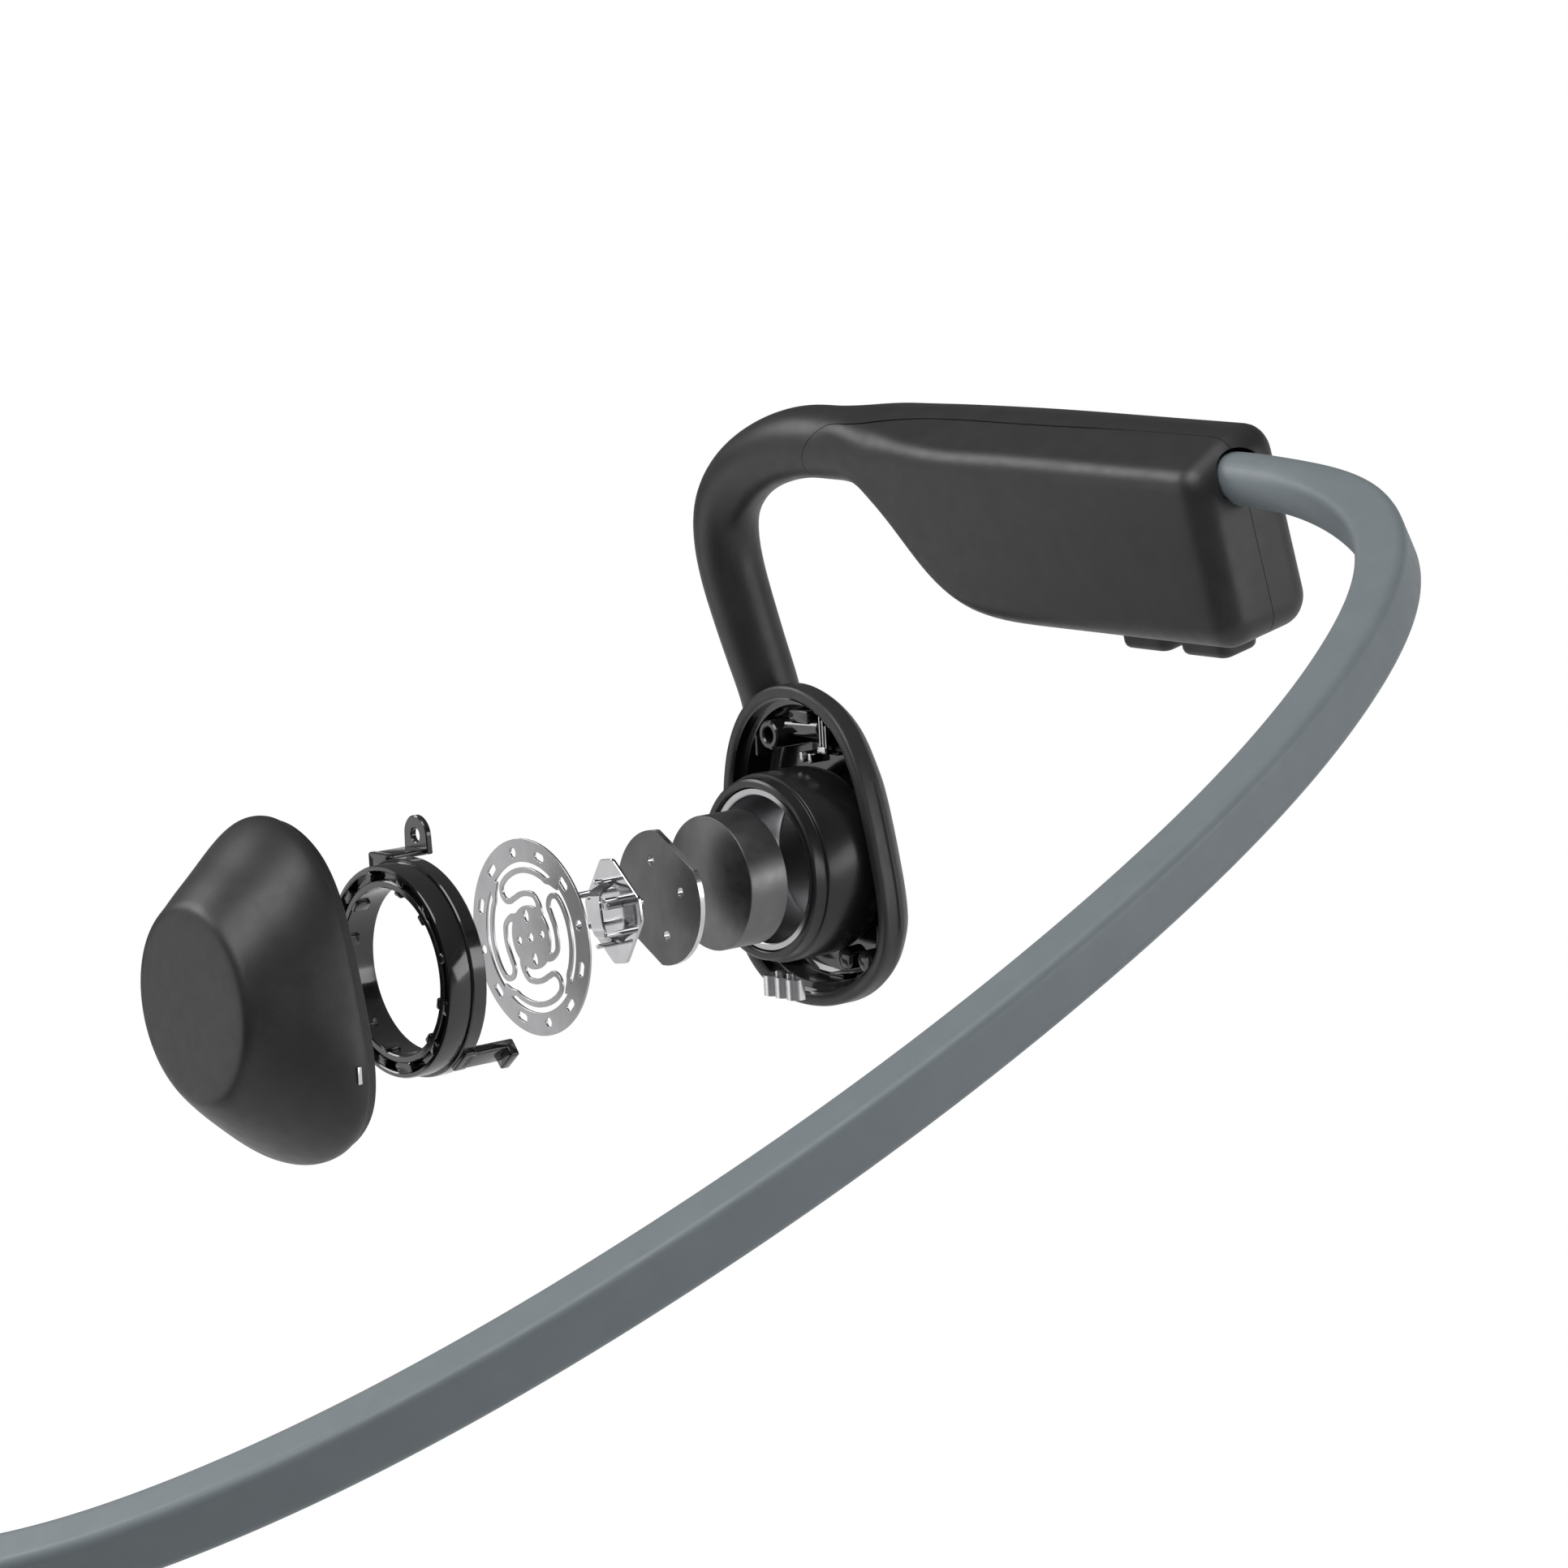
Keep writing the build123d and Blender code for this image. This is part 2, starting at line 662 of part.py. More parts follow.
def contact_clip():
    """Three-curl spring contact at the foot of the pod."""
    strip = None
    for i in range(3):
        curl = tube(0.95, 0.72, -1.1, 1.1) & box_between((-2, -2, -2), (2, 0, 2))
        curl = Pos(i * 1.66, 0, 0) * curl
        strip = curl if strip is None else strip + curl
    leg = box_between((-0.95, 0, -1.1), (-0.72, 1.6, 1.1))
    clip = strip + leg
    return Plane(origin=CLIP_POINT, x_dir=(1, 0, 0), z_dir=(0, 1, 0)).location * clip


def pod_contacts():
    pins = [box_between((u, 9.6, -POD_FLOOR), (u + 0.45, 10.3, -0.6)) for u in (-2.2, -0.6, 0.9)]
    return Compound(children=[in_pod(pin) for pin in pins])


def multi_button():
    cap = disc(MULTI_R, -POD_DEPTH - 0.9, -POD_DEPTH + 0.7, AXIS_UV)
    return fillet(cap.edges().group_by(Axis.Z)[0], 0.5)


def battery():
    cell = box_between((9.0, -9.4, -2.4), (31.0, -1.2, 2.6))
    return in_housing(fillet(cell.edges().filter_by(Axis.X), 1.0))


def battery_board():
    return in_housing(box_between((32.0, -7.6, -1.4), (33.0, -0.8, 1.6)))


def microphone():
    return in_housing(box_between((36.6, -3.4, 1.2), (39.4, -1.0, 2.2)))


# ---- assembly ----
def save(name, shape):
    if isinstance(shape, list):
        shape = Compound(children=list(shape))
    shape.label = name
    export_step(shape, f"parts/{name}.step")


def driver_pieces():
    return {
        "magnet": (magnet(), MAGNET_OUT),
        "yoke_plate": (yoke_plate(), YOKE_OUT),
        "coil_bracket": (coil_bracket(), BRACKET_OUT),
        "spring_plate": (spring_plate(), SPRING_OUT),
        "ring_bracket": (ring_bracket(), RING_OUT),
        "pad_cover": (pad_cover(), PAD_OUT),
    }


def pod_pieces():
    """What stays in each pod: shell, cup, liner, coil, spring contact and pins."""
    bored = in_pod(pod_shell()) - in_housing(hook_wire_bore())
    return {
        "pod_shell": largest(bored),
        "driver_cup": in_pod(cup()),
        "cup_liner": in_pod(liner()),
        "voice_coil": in_pod(coil()),
        "contact_clip": in_pod(contact_clip()),
        "pod_contacts": pod_contacts(),
    }


def side_pieces(right):
    """Housing, hook and pod of one side, drawn on the right."""
    outer, lid = housing_shells(right)
    sleeve, core = hook()
    pieces = {
        "housing_shell": outer,
        "housing_lid": lid,
        "housing_gasket": gasket(),
        "housing_screws": Compound(children=screws_in_housing()),
        "hook_sleeve": sleeve,
        "hook_core_wire": core,
    }
    pieces.update(pod_pieces())
    return pieces


def right_side():
    nodes = {f"{name}_right": shape for name, shape in side_pieces(True).items()}
    for name, (shape, out) in driver_pieces().items():
        nodes[f"{name}_right"] = in_pod(shape, out)
    nodes.update(electronics_right())
    for name, f in BUTTONS.items():
        nodes[name] = in_housing(button_shape(f))
    nodes["port_cover"], nodes["port_cover_pin"] = port_cover()
    return nodes


def left_side():
    nodes = side_pieces(False)
    for name, (shape, _) in driver_pieces().items():
        nodes[name] = in_pod(shape)
    pocket = disc(MULTI_R + 0.12, -POD_DEPTH - 2, -POD_DEPTH + 1.25, AXIS_UV)
    nodes["pod_shell"] -= in_pod(pocket)
    nodes = {f"{name}_left": to_left(shape) for name, shape in nodes.items()}
    nodes["multifunction_button"] = to_left(in_pod(multi_button()))
    nodes["battery"] = to_left(battery())
    nodes["battery_board"] = to_left(battery_board())
    nodes["microphone"] = to_left(microphone())
    return nodes


if __name__ == "__main__":
    os.makedirs("parts", exist_ok=True)
    parts = {**neckband(), **right_side(), **left_side()}
    for name, shape in parts.items():
        save(name, shape)
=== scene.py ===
"""Bone conduction headphones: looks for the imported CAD, in the CAD's own frame.

The frame's origin is the middle of the neckband's back, +X is the wearer's right, +Y is
forward and +Z is up. Shapes are worked out in millimetres and written as metres. The
right driver is drawn out of its pod; the left side is closed.
"""

import math

import bmesh
import bpy
import numpy as np
from mathutils import Matrix
from mathutils.geometry import tessellate_polygon


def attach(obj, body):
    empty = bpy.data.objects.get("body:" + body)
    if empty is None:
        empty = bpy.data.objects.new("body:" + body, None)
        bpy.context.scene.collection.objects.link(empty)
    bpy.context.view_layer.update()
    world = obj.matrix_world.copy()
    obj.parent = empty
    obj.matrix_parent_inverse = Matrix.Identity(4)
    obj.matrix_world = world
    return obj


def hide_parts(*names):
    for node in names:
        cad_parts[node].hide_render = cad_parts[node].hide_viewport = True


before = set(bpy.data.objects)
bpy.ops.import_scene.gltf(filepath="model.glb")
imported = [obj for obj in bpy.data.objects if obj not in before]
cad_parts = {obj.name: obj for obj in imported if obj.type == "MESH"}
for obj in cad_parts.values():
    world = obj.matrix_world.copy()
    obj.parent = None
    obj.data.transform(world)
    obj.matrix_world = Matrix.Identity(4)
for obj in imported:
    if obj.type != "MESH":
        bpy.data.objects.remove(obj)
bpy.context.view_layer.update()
MM = 0.001

# ---- frames ----
# EXIT is where the band enters the right housing, and (f, h, w) run forward, up and out
# from it. (u, v, n) run across, along and out of the right pod's opening, from POD.
EXIT = np.array([69.45, 49.9, 2.2])
SPLAY = math.radians(9.65)
ROLL = math.radians(-14.59)
LEFT_SPLAY = math.radians(-7.0)
LEFT_EXIT = np.array([-75.81, 48.44, 2.2])
FORWARD = np.array([-math.sin(SPLAY), math.cos(SPLAY), 0.0])
SIDE = np.array([math.cos(SPLAY), math.sin(SPLAY), 0.0])
OUTWARD = SIDE * math.cos(ROLL) + np.array([0, 0, 1.0]) * math.sin(ROLL)
UPWARD = np.cross(OUTWARD, FORWARD)
POD = np.array([43.165, 103.515, -31.1])
POD_N = np.array([-0.87548, -0.1651, 0.45419])
POD_U = np.array([0.18531, -0.98268, 0.0])
POD_V = np.cross(POD_N, POD_U)
AXIS = np.array([-0.75, -0.9, 0.0])  # the driver's middle in the pod's opening
# how far each driver piece stands drawn out of the pod, as (u, v, n)
OUT = {
    "pad": (1.35, -3.75, 56.25),
    "ring": (1.5, -2.9, 39.2),
    "spring": (1.58, -1.95, 27.13),
    "bracket": (1.43, -1.07, 20.4),
    "yoke": (1.15, -0.71, 15.47),
    "magnet": (1.11, -0.28, 10.31),
    "none": (0.0, 0.0, 0.0),
}


def in_housing(p):
    """(f, h, w) rows to world millimetres."""
    p = np.asarray(p, float)
    return EXIT + p[:, :1] * FORWARD + p[:, 1:2] * UPWARD + p[:, 2:3] * OUTWARD


def in_pod(p, out=(0, 0, 0)):
    """(u, v, n) rows to world millimetres."""
    p = np.asarray(p, float) + np.asarray(out, float)
    return POD + p[:, :1] * POD_U + p[:, 1:2] * POD_V + p[:, 2:3] * POD_N


def on_axis(p, out="none"):
    """Rows about the driver's middle to world millimetres, drawn out as named in OUT."""
    return in_pod(np.asarray(p, float) + AXIS, OUT[out])


def to_left(v):
    """Mirror right-side world millimetres and open them about the band's left end."""
    turn = SPLAY - LEFT_SPLAY
    c, s = math.cos(turn), math.sin(turn)
    rel = v * [-1.0, 1.0, 1.0] - EXIT * [-1.0, 1.0, 1.0]
    return LEFT_EXIT + rel @ np.array([[c, s, 0], [-s, c, 0], [0, 0, 1.0]])


# ---- small shape helpers ----
def smooth(t):
    """An even step from 0 to 1 as t goes from 0 to 1."""
    t = np.clip(t, 0, 1)
    return t * t * (3 - 2 * t)


def spline(x, y, closed=False):
    """Cubic spline through y (rows) at x; returns a function of x."""
    x, y = np.asarray(x, float), np.asarray(y, float)
    n = len(x) - 1
    h = np.diff(x)
    size = n if closed else n + 1
    a = np.zeros((size, size))
    b = np.zeros((size,) + y.shape[1:])
    for i in range(size):
        if not closed and i in (0, n):
            a[i, i] = 1
            continue
        before, after = h[i - 1], h[i % n]
        a[i, i - 1] += before
        a[i, i] += 2 * (before + after)
        a[i, (i + 1) % size] += after
        previous = y[i - 1 if i else n - 1]
        b[i] = 6 * ((y[i + 1] - y[i]) / after - (y[i] - previous) / before)
    m = np.linalg.solve(a, b)
    m = np.vstack([m, m[:1]]) if closed else m

    def at(q):
        q = np.atleast_1d(np.asarray(q, float))
        k = np.clip(np.searchsorted(x, q, side="right") - 1, 0, n - 1)
        w = h[k][:, None]
        s = (q - x[k])[:, None]
        e = w - s
        curved = (m[k] * e**3 + m[k + 1] * s**3) / (6 * w)
        return curved + (y[k] / w - m[k] * w / 6) * e + (y[k + 1] / w - m[k + 1] * w / 6) * s

    return at


def chord(points):
    """Length along a line at each of its points."""
    return np.concatenate([[0], np.cumsum(np.linalg.norm(np.diff(points, axis=0), axis=1))])


def round_polygon(corners, radii, arc, edge):
    """A polygon with rounded corners, always with the same number of points."""
    corners = np.asarray(corners, float)
    starts, ends, arcs = [], [], []
    n = len(corners)
    for i, p in enumerate(corners):
        to_a, to_b = corners[i - 1] - p, corners[(i + 1) % n] - p
        la, lb = np.linalg.norm(to_a), np.linalg.norm(to_b)
        half = math.acos(max(-1.0, min(1.0, float(to_a @ to_b) / la / lb))) / 2
        d = min(radii[i] / max(math.tan(half), 1e-3), 0.46 * min(la, lb))
        p0, p2, w = p + to_a / la * d, p + to_b / lb * d, math.sin(half)
        t = np.linspace(0, 1, arc)[:, None]
        weight = (1 - t) ** 2 + 2 * w * t * (1 - t) + t**2
        arcs.append(((1 - t) ** 2 * p0 + 2 * w * t * (1 - t) * p + t**2 * p2) / weight)
        starts.append(p0)
        ends.append(p2)
    out = []
    for i in range(n):
        out.append(arcs[i])
        t = np.linspace(0, 1, edge + 2)[1:-1, None]
        out.append(ends[i] * (1 - t) + starts[(i + 1) % n] * t)
    return np.vstack(out)


def normals2d(loop):
    """Outward normals of a counter-clockwise loop."""
    tangent = np.roll(loop, -1, 0) - np.roll(loop, 1, 0)
    tangent /= np.linalg.norm(tangent, axis=1)[:, None]
    return np.column_stack([tangent[:, 1], -tangent[:, 0]])


def line_normals(line):
    """Unit normals, left of an open line."""
    t = np.gradient(line, axis=0)
    t /= np.linalg.norm(t, axis=1)[:, None]
    return np.column_stack([-t[:, 1], t[:, 0]])


def grow(loop, d):
    return loop + normals2d(loop) * d


def polar(r, deg):
    a = math.radians(deg)
    return (r * math.cos(a), r * math.sin(a))


def turned(points, deg):
    """Flat points turned about the origin."""
    c, s = polar(1, deg)
    return points @ np.array([[c, s], [-s, c]])


def turn_soup(soup, deg):
    """A soup's points turned about its own z axis."""
    v = soup.points()
    v[:, :2] = turned(v[:, :2], deg)
    return v


def box_corners(half_x, half_y, x=0.0):
    return [(x - half_x, -half_y), (x + half_x, -half_y), (x + half_x, half_y), (x - half_x, half_y)]


def upright(loop, h):
    """A loop's two columns as first and last, with h between them."""
    return np.column_stack([loop[:, 0], np.full(len(loop), float(h)), loop[:, 1]])


def flat(loop, z):
    return np.column_stack([loop, np.full(len(loop), float(z))])


def circle(r, n, at=(0, 0)):
    a = np.linspace(0, 2 * math.pi, n, endpoint=False)
    return np.column_stack([at[0] + r * np.cos(a), at[1] + r * np.sin(a)])


class Soup:
    """Vertices and faces gathered for one piece."""

    def __init__(self):
        self.v = []
        self.f = []
        self.n = 0

    def add(self, v, f):
        v = np.asarray(v, float)
        self.v.append(v)
        self.f += [tuple(int(i) + self.n for i in face) for face in f]
        self.n += len(v)
        return self

    def rings(self, rings, cap_start=False, cap_end=False, loop=False):
        """A skin over equal rings."""
        m = len(rings[0])
        count = len(rings)
        v = np.vstack(rings)
        f = []
        for i in range(count if loop else count - 1):
            a, b = i * m, ((i + 1) % count) * m
            f += [(a + k, a + (k + 1) % m, b + (k + 1) % m, b + k) for k in range(m)]
        extra = []
        for wanted, base in ((cap_start, 0), (cap_end, (count - 1) * m)):
            if wanted:
                centre = len(v) + len(extra)
                extra.append(v[base : base + m].mean(0))
                f += [(base + k, base + (k + 1) % m, centre) for k in range(m)]
        return self.add(np.vstack([v, *extra]) if extra else v, f)

    def lathe(self, profile, n, at=(0, 0)):
        """A closed (r, z) profile turned about the axis."""
        return self.rings([flat(circle(max(r, 1e-4), n, at), z) for r, z in profile], loop=True)

    def plate(self, loops, low, high, bevel):
        """A flat plate: the first loop is its edge, the others are holes."""
        steps = [(low, bevel), (low + bevel, 0), (high - bevel, 0), (high, bevel)]
        sets = []
        for z, inset in steps:
            grown = [grow(p, inset if i else -inset) for i, p in enumerate(loops)]
            sets.append([flat(loop, z) for loop in grown])
        for i in range(len(loops)):
            self.rings([s[i] for s in sets])
        for s in (sets[0], sets[-1]):
            tris = tessellate_polygon([[tuple(q) for q in loop] for loop in s])
            self.add(np.vstack(s), tris)
        return self

    def block(self, low, high, bevel):
        """A box between two corners, its edges rounded."""
        low, high = np.asarray(low, float), np.asarray(high, float)
        mid, half = (low + high) / 2, (high - low) / 2
        corners = box_corners(half[0], half[1])
        loop = round_polygon(corners, [bevel * 1.5] * 4, arc=5, edge=1) + mid[:2]
        b = min(bevel, half[2] * 0.8)
        steps = [(b, 0), (b * 0.3, b * 0.3), (0, b)]
        rings = [flat(grow(loop, -inset), low[2] + rise) for inset, rise in steps]
        rings += [flat(grow(loop, -inset), high[2] - rise) for inset, rise in steps[::-1]]
        return self.rings(rings, True, True)

    def rod(self, a, b, r, n=24, bevel=0.05):
        """A round bar between two points."""
        a, b = np.asarray(a, float), np.asarray(b, float)
        t = (b - a) / np.linalg.norm(b - a)
        side = np.cross(t, [0.0, 0.0, 1.0] if abs(t[2]) < 0.9 else [1.0, 0.0, 0.0])
        side /= np.linalg.norm(side)
        other = np.cross(t, side)
        ring = circle(1.0, n)
        rings = []
        for p, q in ((a, r - bevel), (a + t * bevel, r), (b - t * bevel, r), (b, r - bevel)):
            rings.append(p + ring[:, :1] * side * q + ring[:, 1:] * other * q)
        return self.rings(rings, True, True)

    def points(self):
        return np.vstack(self.v)


def make(name, soup, place, mat, body, nodes, sharp=38, mirror=False):
    """Turn a soup into an object: place maps its points to world millimetres."""
    v = place(soup.points())
    v = (to_left(v) if mirror else v) * MM
    mesh = bpy.data.meshes.new(name)
    mesh.from_pydata(v.tolist(), [], soup.f)
    bm = bmesh.new()
    bm.from_mesh(mesh)
    bmesh.ops.remove_doubles(bm, verts=bm.verts, dist=1e-6)
    bmesh.ops.recalc_face_normals(bm, faces=bm.faces)
    bm.to_mesh(mesh)
    bm.free()
    mesh.polygons.foreach_set("use_smooth", [True] * len(mesh.polygons))
    mesh.set_sharp_from_angle(angle=math.radians(sharp))
    mesh.materials.append(mat)
    obj = bpy.data.objects.new(name, mesh)
    bpy.context.scene.collection.objects.link(obj)
    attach(obj, body)
    if nodes:
        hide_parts(*nodes)
    return obj


# ---- materials ----
class Look:
    """Small helper that wires one procedural material, its patterns in millimetres."""

    def __init__(self, name):
        self.mat = bpy.data.materials.new(name)
        self.mat.use_nodes = True
        self.tree = self.mat.node_tree
        self.tree.nodes.clear()
        self.link = self.tree.links.new
        self.out = self.node("OutputMaterial")
        self.bsdf = self.node("BsdfPrincipled")
        self.link(self.bsdf.outputs[0], self.out.inputs[0])
        coord = self.node("TexCoord")
        mapping = self.node("Mapping")
        mapping.inputs["Scale"].default_value = (1000, 1000, 1000)
        self.link(coord.outputs["Object"], mapping.inputs[0])
        self.coord = mapping.outputs[0]

    def node(self, kind):
        return self.tree.nodes.new("ShaderNode" + kind)

    def noise(self, scale, detail, stretch=None):
        node = self.node("TexNoise")
        node.inputs["Scale"].default_value = scale
        node.inputs["Detail"].default_value = detail
        source = self.coord
        if stretch:
            mapping = self.node("Mapping")
            mapping.inputs["Scale"].default_value = stretch
            self.link(self.coord, mapping.inputs[0])
            source = mapping.outputs[0]
        self.link(source, node.inputs["Vector"])
        return node.outputs["Fac"]

    def spread(self, fac, low, high, start=0.3, end=0.7):
        node = self.node("MapRange")
        node.inputs[1].default_value = start
        node.inputs[2].default_value = end
        node.inputs[3].default_value = low
        node.inputs[4].default_value = high
        self.link(fac, node.inputs[0])
        return node.outputs[0]

    def mix(self, fac, one, two):
        node = self.node("Mix")
        node.data_type = "RGBA"
        self.link(fac, node.inputs[0])
        for value, index in ((one, 6), (two, 7)):
            if hasattr(value, "links"):
                self.link(value, node.inputs[index])
            else:
                node.inputs[index].default_value = (*value, 1.0)
        return node.outputs[2]

    def wear(self):
        """A mask of the edges, from the surface's own curvature, broken up by noise."""
        geometry = self.node("NewGeometry")
        edge = self.spread(geometry.outputs["Pointiness"], 0.0, 1.0, 0.53, 0.62)
        multiply = self.node("Math")
        multiply.operation = "MULTIPLY"
        self.link(edge, multiply.inputs[0])
        self.link(self.noise(1.7, 6), multiply.inputs[1])
        return multiply.outputs[0]


def shade(v):
    """A grey as (r, g, b)."""
    return (v, v, v * 1.02)


def surface(name, one, two, rough, metal=0.0, grain=4.0, bump=0.05, scratch=None, wear=0.0, coat=0.0):
    """Mottled colour, uneven roughness, fine grain and slightly worn edges."""
    look = Look(name)
    colour = look.mix(look.spread(look.noise(0.35, 5), 0, 1), one, two)
    if wear:
        pale = tuple(min(1.0, c * 1.5 + 0.03) for c in two)
        worn = look.node("Math")
        worn.operation = "MULTIPLY"
        worn.inputs[1].default_value = wear
        look.link(look.wear(), worn.inputs[0])
        colour = look.mix(worn.outputs[0], colour, pale)
    look.link(colour, look.bsdf.inputs["Base Color"])
    fine = look.noise(grain, 3, scratch)
    look.link(look.spread(look.noise(0.8, 4, scratch), *rough), look.bsdf.inputs["Roughness"])
    node = look.node("Bump")
    node.inputs["Strength"].default_value = bump
    node.inputs["Distance"].default_value = 0.0001
    look.link(fine, node.inputs["Height"])
    look.link(node.outputs[0], look.bsdf.inputs["Normal"])
    look.bsdf.inputs["Metallic"].default_value = metal
    look.bsdf.inputs["Coat Weight"].default_value = coat
    look.bsdf.inputs["Coat Roughness"].default_value = 0.08
    return look.mat


SOFT = surface("soft_touch_black", shade(0.015), shade(0.02), (0.38, 0.45), 0, 9.0, 0.1, wear=0.12)
SHELL = surface("satin_shell_black", shade(0.022), shade(0.028), (0.36, 0.44), 0, 7.0, 0.09, wear=0.15)
CUP = surface("satin_cup_black", shade(0.008), shade(0.011), (0.27, 0.3), 0, 9.0, 0.02, wear=0.05)
GLOSS = surface("gloss_black", shade(0.006), shade(0.01), (0.08, 0.16), 0, 3.0, 0.03, wear=0.1, coat=0.6)
BAND = surface(
    "band_silicone", (0.16, 0.187, 0.202), (0.172, 0.2, 0.215), (0.42, 0.5), 0, 6.0, 0.08, wear=0.05
)
NICKEL = surface("magnet_nickel", shade(0.14), shade(0.17), (0.34, 0.42), 1, 5.0, 0.05)
DARK_STEEL = surface("dark_steel", shade(0.11), shade(0.14), (0.3, 0.38), 1, 6.0, 0.05, (0.3, 2.0, 1.0))
SPRING = surface(
    "brushed_spring_steel", shade(0.4), shade(0.45), (0.28, 0.34), 1, 8.0, 0.04, (0.25, 3, 1)
)
EDGE = surface("polished_edge", shade(0.6), shade(0.7), (0.1, 0.2), 1, 5.0, 0.04)
CHROME = surface("bright_plated", shade(0.48), shade(0.56), (0.07, 0.12), 1, 6.0, 0.02)
CLIP = surface("bright_contact", shade(0.74), shade(0.84), (0.14, 0.2), 0.7, 6.0, 0.02)
LINER = surface("liner_steel", shade(0.42), shade(0.46), (0.24, 0.27), 1, 9.0, 0.01)
TITANIUM = surface(
    "drawn_wire", (0.42, 0.41, 0.39), (0.5, 0.48, 0.46), (0.25, 0.35), 1, 5.0, 0.08, (0.2, 3, 1)
)
COPPER = surface(
    "enamelled_copper", (0.5, 0.22, 0.1), (0.6, 0.28, 0.14), (0.2, 0.32), 1, 8.0, 0.1, (3, 0.4, 1)
)
BOARD = surface("board_green", (0.012, 0.06, 0.03), (0.02, 0.08, 0.04), (0.25, 0.4), 0, 5.0, 0.08)
FOIL = surface("battery_foil", (0.5, 0.51, 0.53), (0.58, 0.59, 0.61), (0.25, 0.45), 1, 2.0, 0.3)

CAD_LOOKS = {
    "wire": TITANIUM, "signal": COPPER, "coil_bracket": CHROME, "voice_coil": COPPER,
    "board": BOARD, "chip": GLOSS, "switches": CHROME, "socket": CHROME, "battery": FOIL,
    "microphone": CHROME, "screws": DARK_STEEL, "gasket": GLOSS, "pin": SPRING,
    "contact": CHROME, "magnet": NICKEL, "yoke": DARK_STEEL, "spring": SPRING,
    "ring": GLOSS, "liner": LINER, "cup": CUP, "battery_board": BOARD,
}


def dress_cad():
    """A procedural look for every carried-over CAD node: the longest key in its name wins."""
    for name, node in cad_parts.items():
        found = [key for key in CAD_LOOKS if key in name]
        look = CAD_LOOKS[max(found, key=len)] if found else SHELL
        node.data.materials.clear()
        node.data.materials.append(look)


dress_cad()

# ---- housing and hook skin ----
# (f, height or reach) along the housing; f runs forward from the band
TOP = [(-3, 3.7), (12, 3.85), (24, 3.95), (36, 3.9), (43, 4), (50, 4.4)]
BOTTOM = [
    (-3, -13.6), (5, -13.6), (13, -13.6), (20, -13.6), (25, -13.55), (29.2, -13.25),
    (32.6, -12.4), (36, -10.3), (39, -7.3), (42.2, -4.4), (45.4, -2.8), (50, -2.45),
]
OUTER = [(-3, 5), (10, 5), (20, 5), (28, 5), (36, 4.75), (43, 3.7), (50, 2.1)]
INNER = [(-3, -5), (10, -5), (22, -5), (34, -5), (43, -4.65), (50, -4.35)]
# the hook's middle line, as (f, h, w), ending inside the pod
HOOK = np.array([
    (50.06, 0.95, -1.1), (52.5, 0.98, -1.25), (56.2, 0.5, -1.4), (60.7, -0.85, -1.5),
    (65, -3.2, -1.6), (67.7, -6.2, -1.8), (68.7, -10.3, -2), (68.2, -15.5, -2.2),
    (67.3, -20.7, -2.3), (66.9, -26.5, -2.4), (67, -29, -2.9), (65.3, -32.7, -4.6),
])
CURVES = []
for table in (TOP, BOTTOM, OUTER, INNER):
    rows = np.array(table)
    CURVES.append(spline(rows[:, 0], rows[:, 1:]))
REAR_R = 2.5  # rounding of the rear end
NOSE_F = 50.0  # station where the housing turns into the hook
NOSE_MIDDLE = (0.95, -1.1)  # (h, w) there
HOOK_R = 3.3


def section(f, inset=0.0):
    """One ring of the housing as (h, w) rows at station f."""
    top, bottom, outer, inner = (float(curve(f)[0, 0]) for curve in CURVES)
    top, bottom, outer, inner = top - inset, bottom + inset, outer - inset, inner + inset
    m = float(smooth((f - 36) / 14))  # 0 on the housing, 1 at the hook
    # the inner face's top edge lies lower than the crest, less so towards the hook
    drop = 2.15 * (1 - float(smooth((f - 29) / 23)))
    crest = 0.8 * (1 - m) - 1.1 * m
    corners = [
        (bottom, inner),
        (top - drop, inner),
        (top + 0.12, crest),
        (top - 0.3 * (1 - m), outer),
        (bottom, outer),
    ]
    blend = 1 - inset / REAR_R * 0.75
    radii = [r * blend for r in (2.2 + m, 2.1 + 3.0 * m, 7.0 - 4.0 * m, 2.8, 2.6 + m)]
    return round_polygon([(w, h) for h, w in corners], radii, arc=10, edge=7)[:, ::-1]


def hook_rings():
    """Rings along the hook, as (f, h, w) rows, with the points spread as in section()."""
    x = chord(HOOK)
    s = np.linspace(0, x[-1], 84)
    centre = spline(x, HOOK)(s)
    tangent = np.gradient(centre, axis=0)
    tangent /= np.linalg.norm(tangent, axis=1)[:, None]
    up, side = np.array([0, 1.0, 0]), np.array([0, 0, 1.0])
    last = section(NOSE_F) - NOSE_MIDDLE
    angle = np.arctan2(last[:, 0], last[:, 1])
    rings = []
    for i in range(len(s)):
        t = tangent[i]
        up = up - t * (up @ t)
        up /= np.linalg.norm(up)
        side = side - t * (side @ t) - up * (side @ up)
        side /= np.linalg.norm(side)
        r = HOOK_R - 0.25 * float(smooth(s[i] / 14)) - 0.25 * float(smooth((s[i] - 24) / 20))
        r -= 1.3 * float(smooth((s[i] - x[-1] + 3.5) / 3.5))  # thinner inside the pod
        rings.append(centre[i] + r * (np.cos(angle)[:, None] * side + np.sin(angle)[:, None] * up))
    return rings


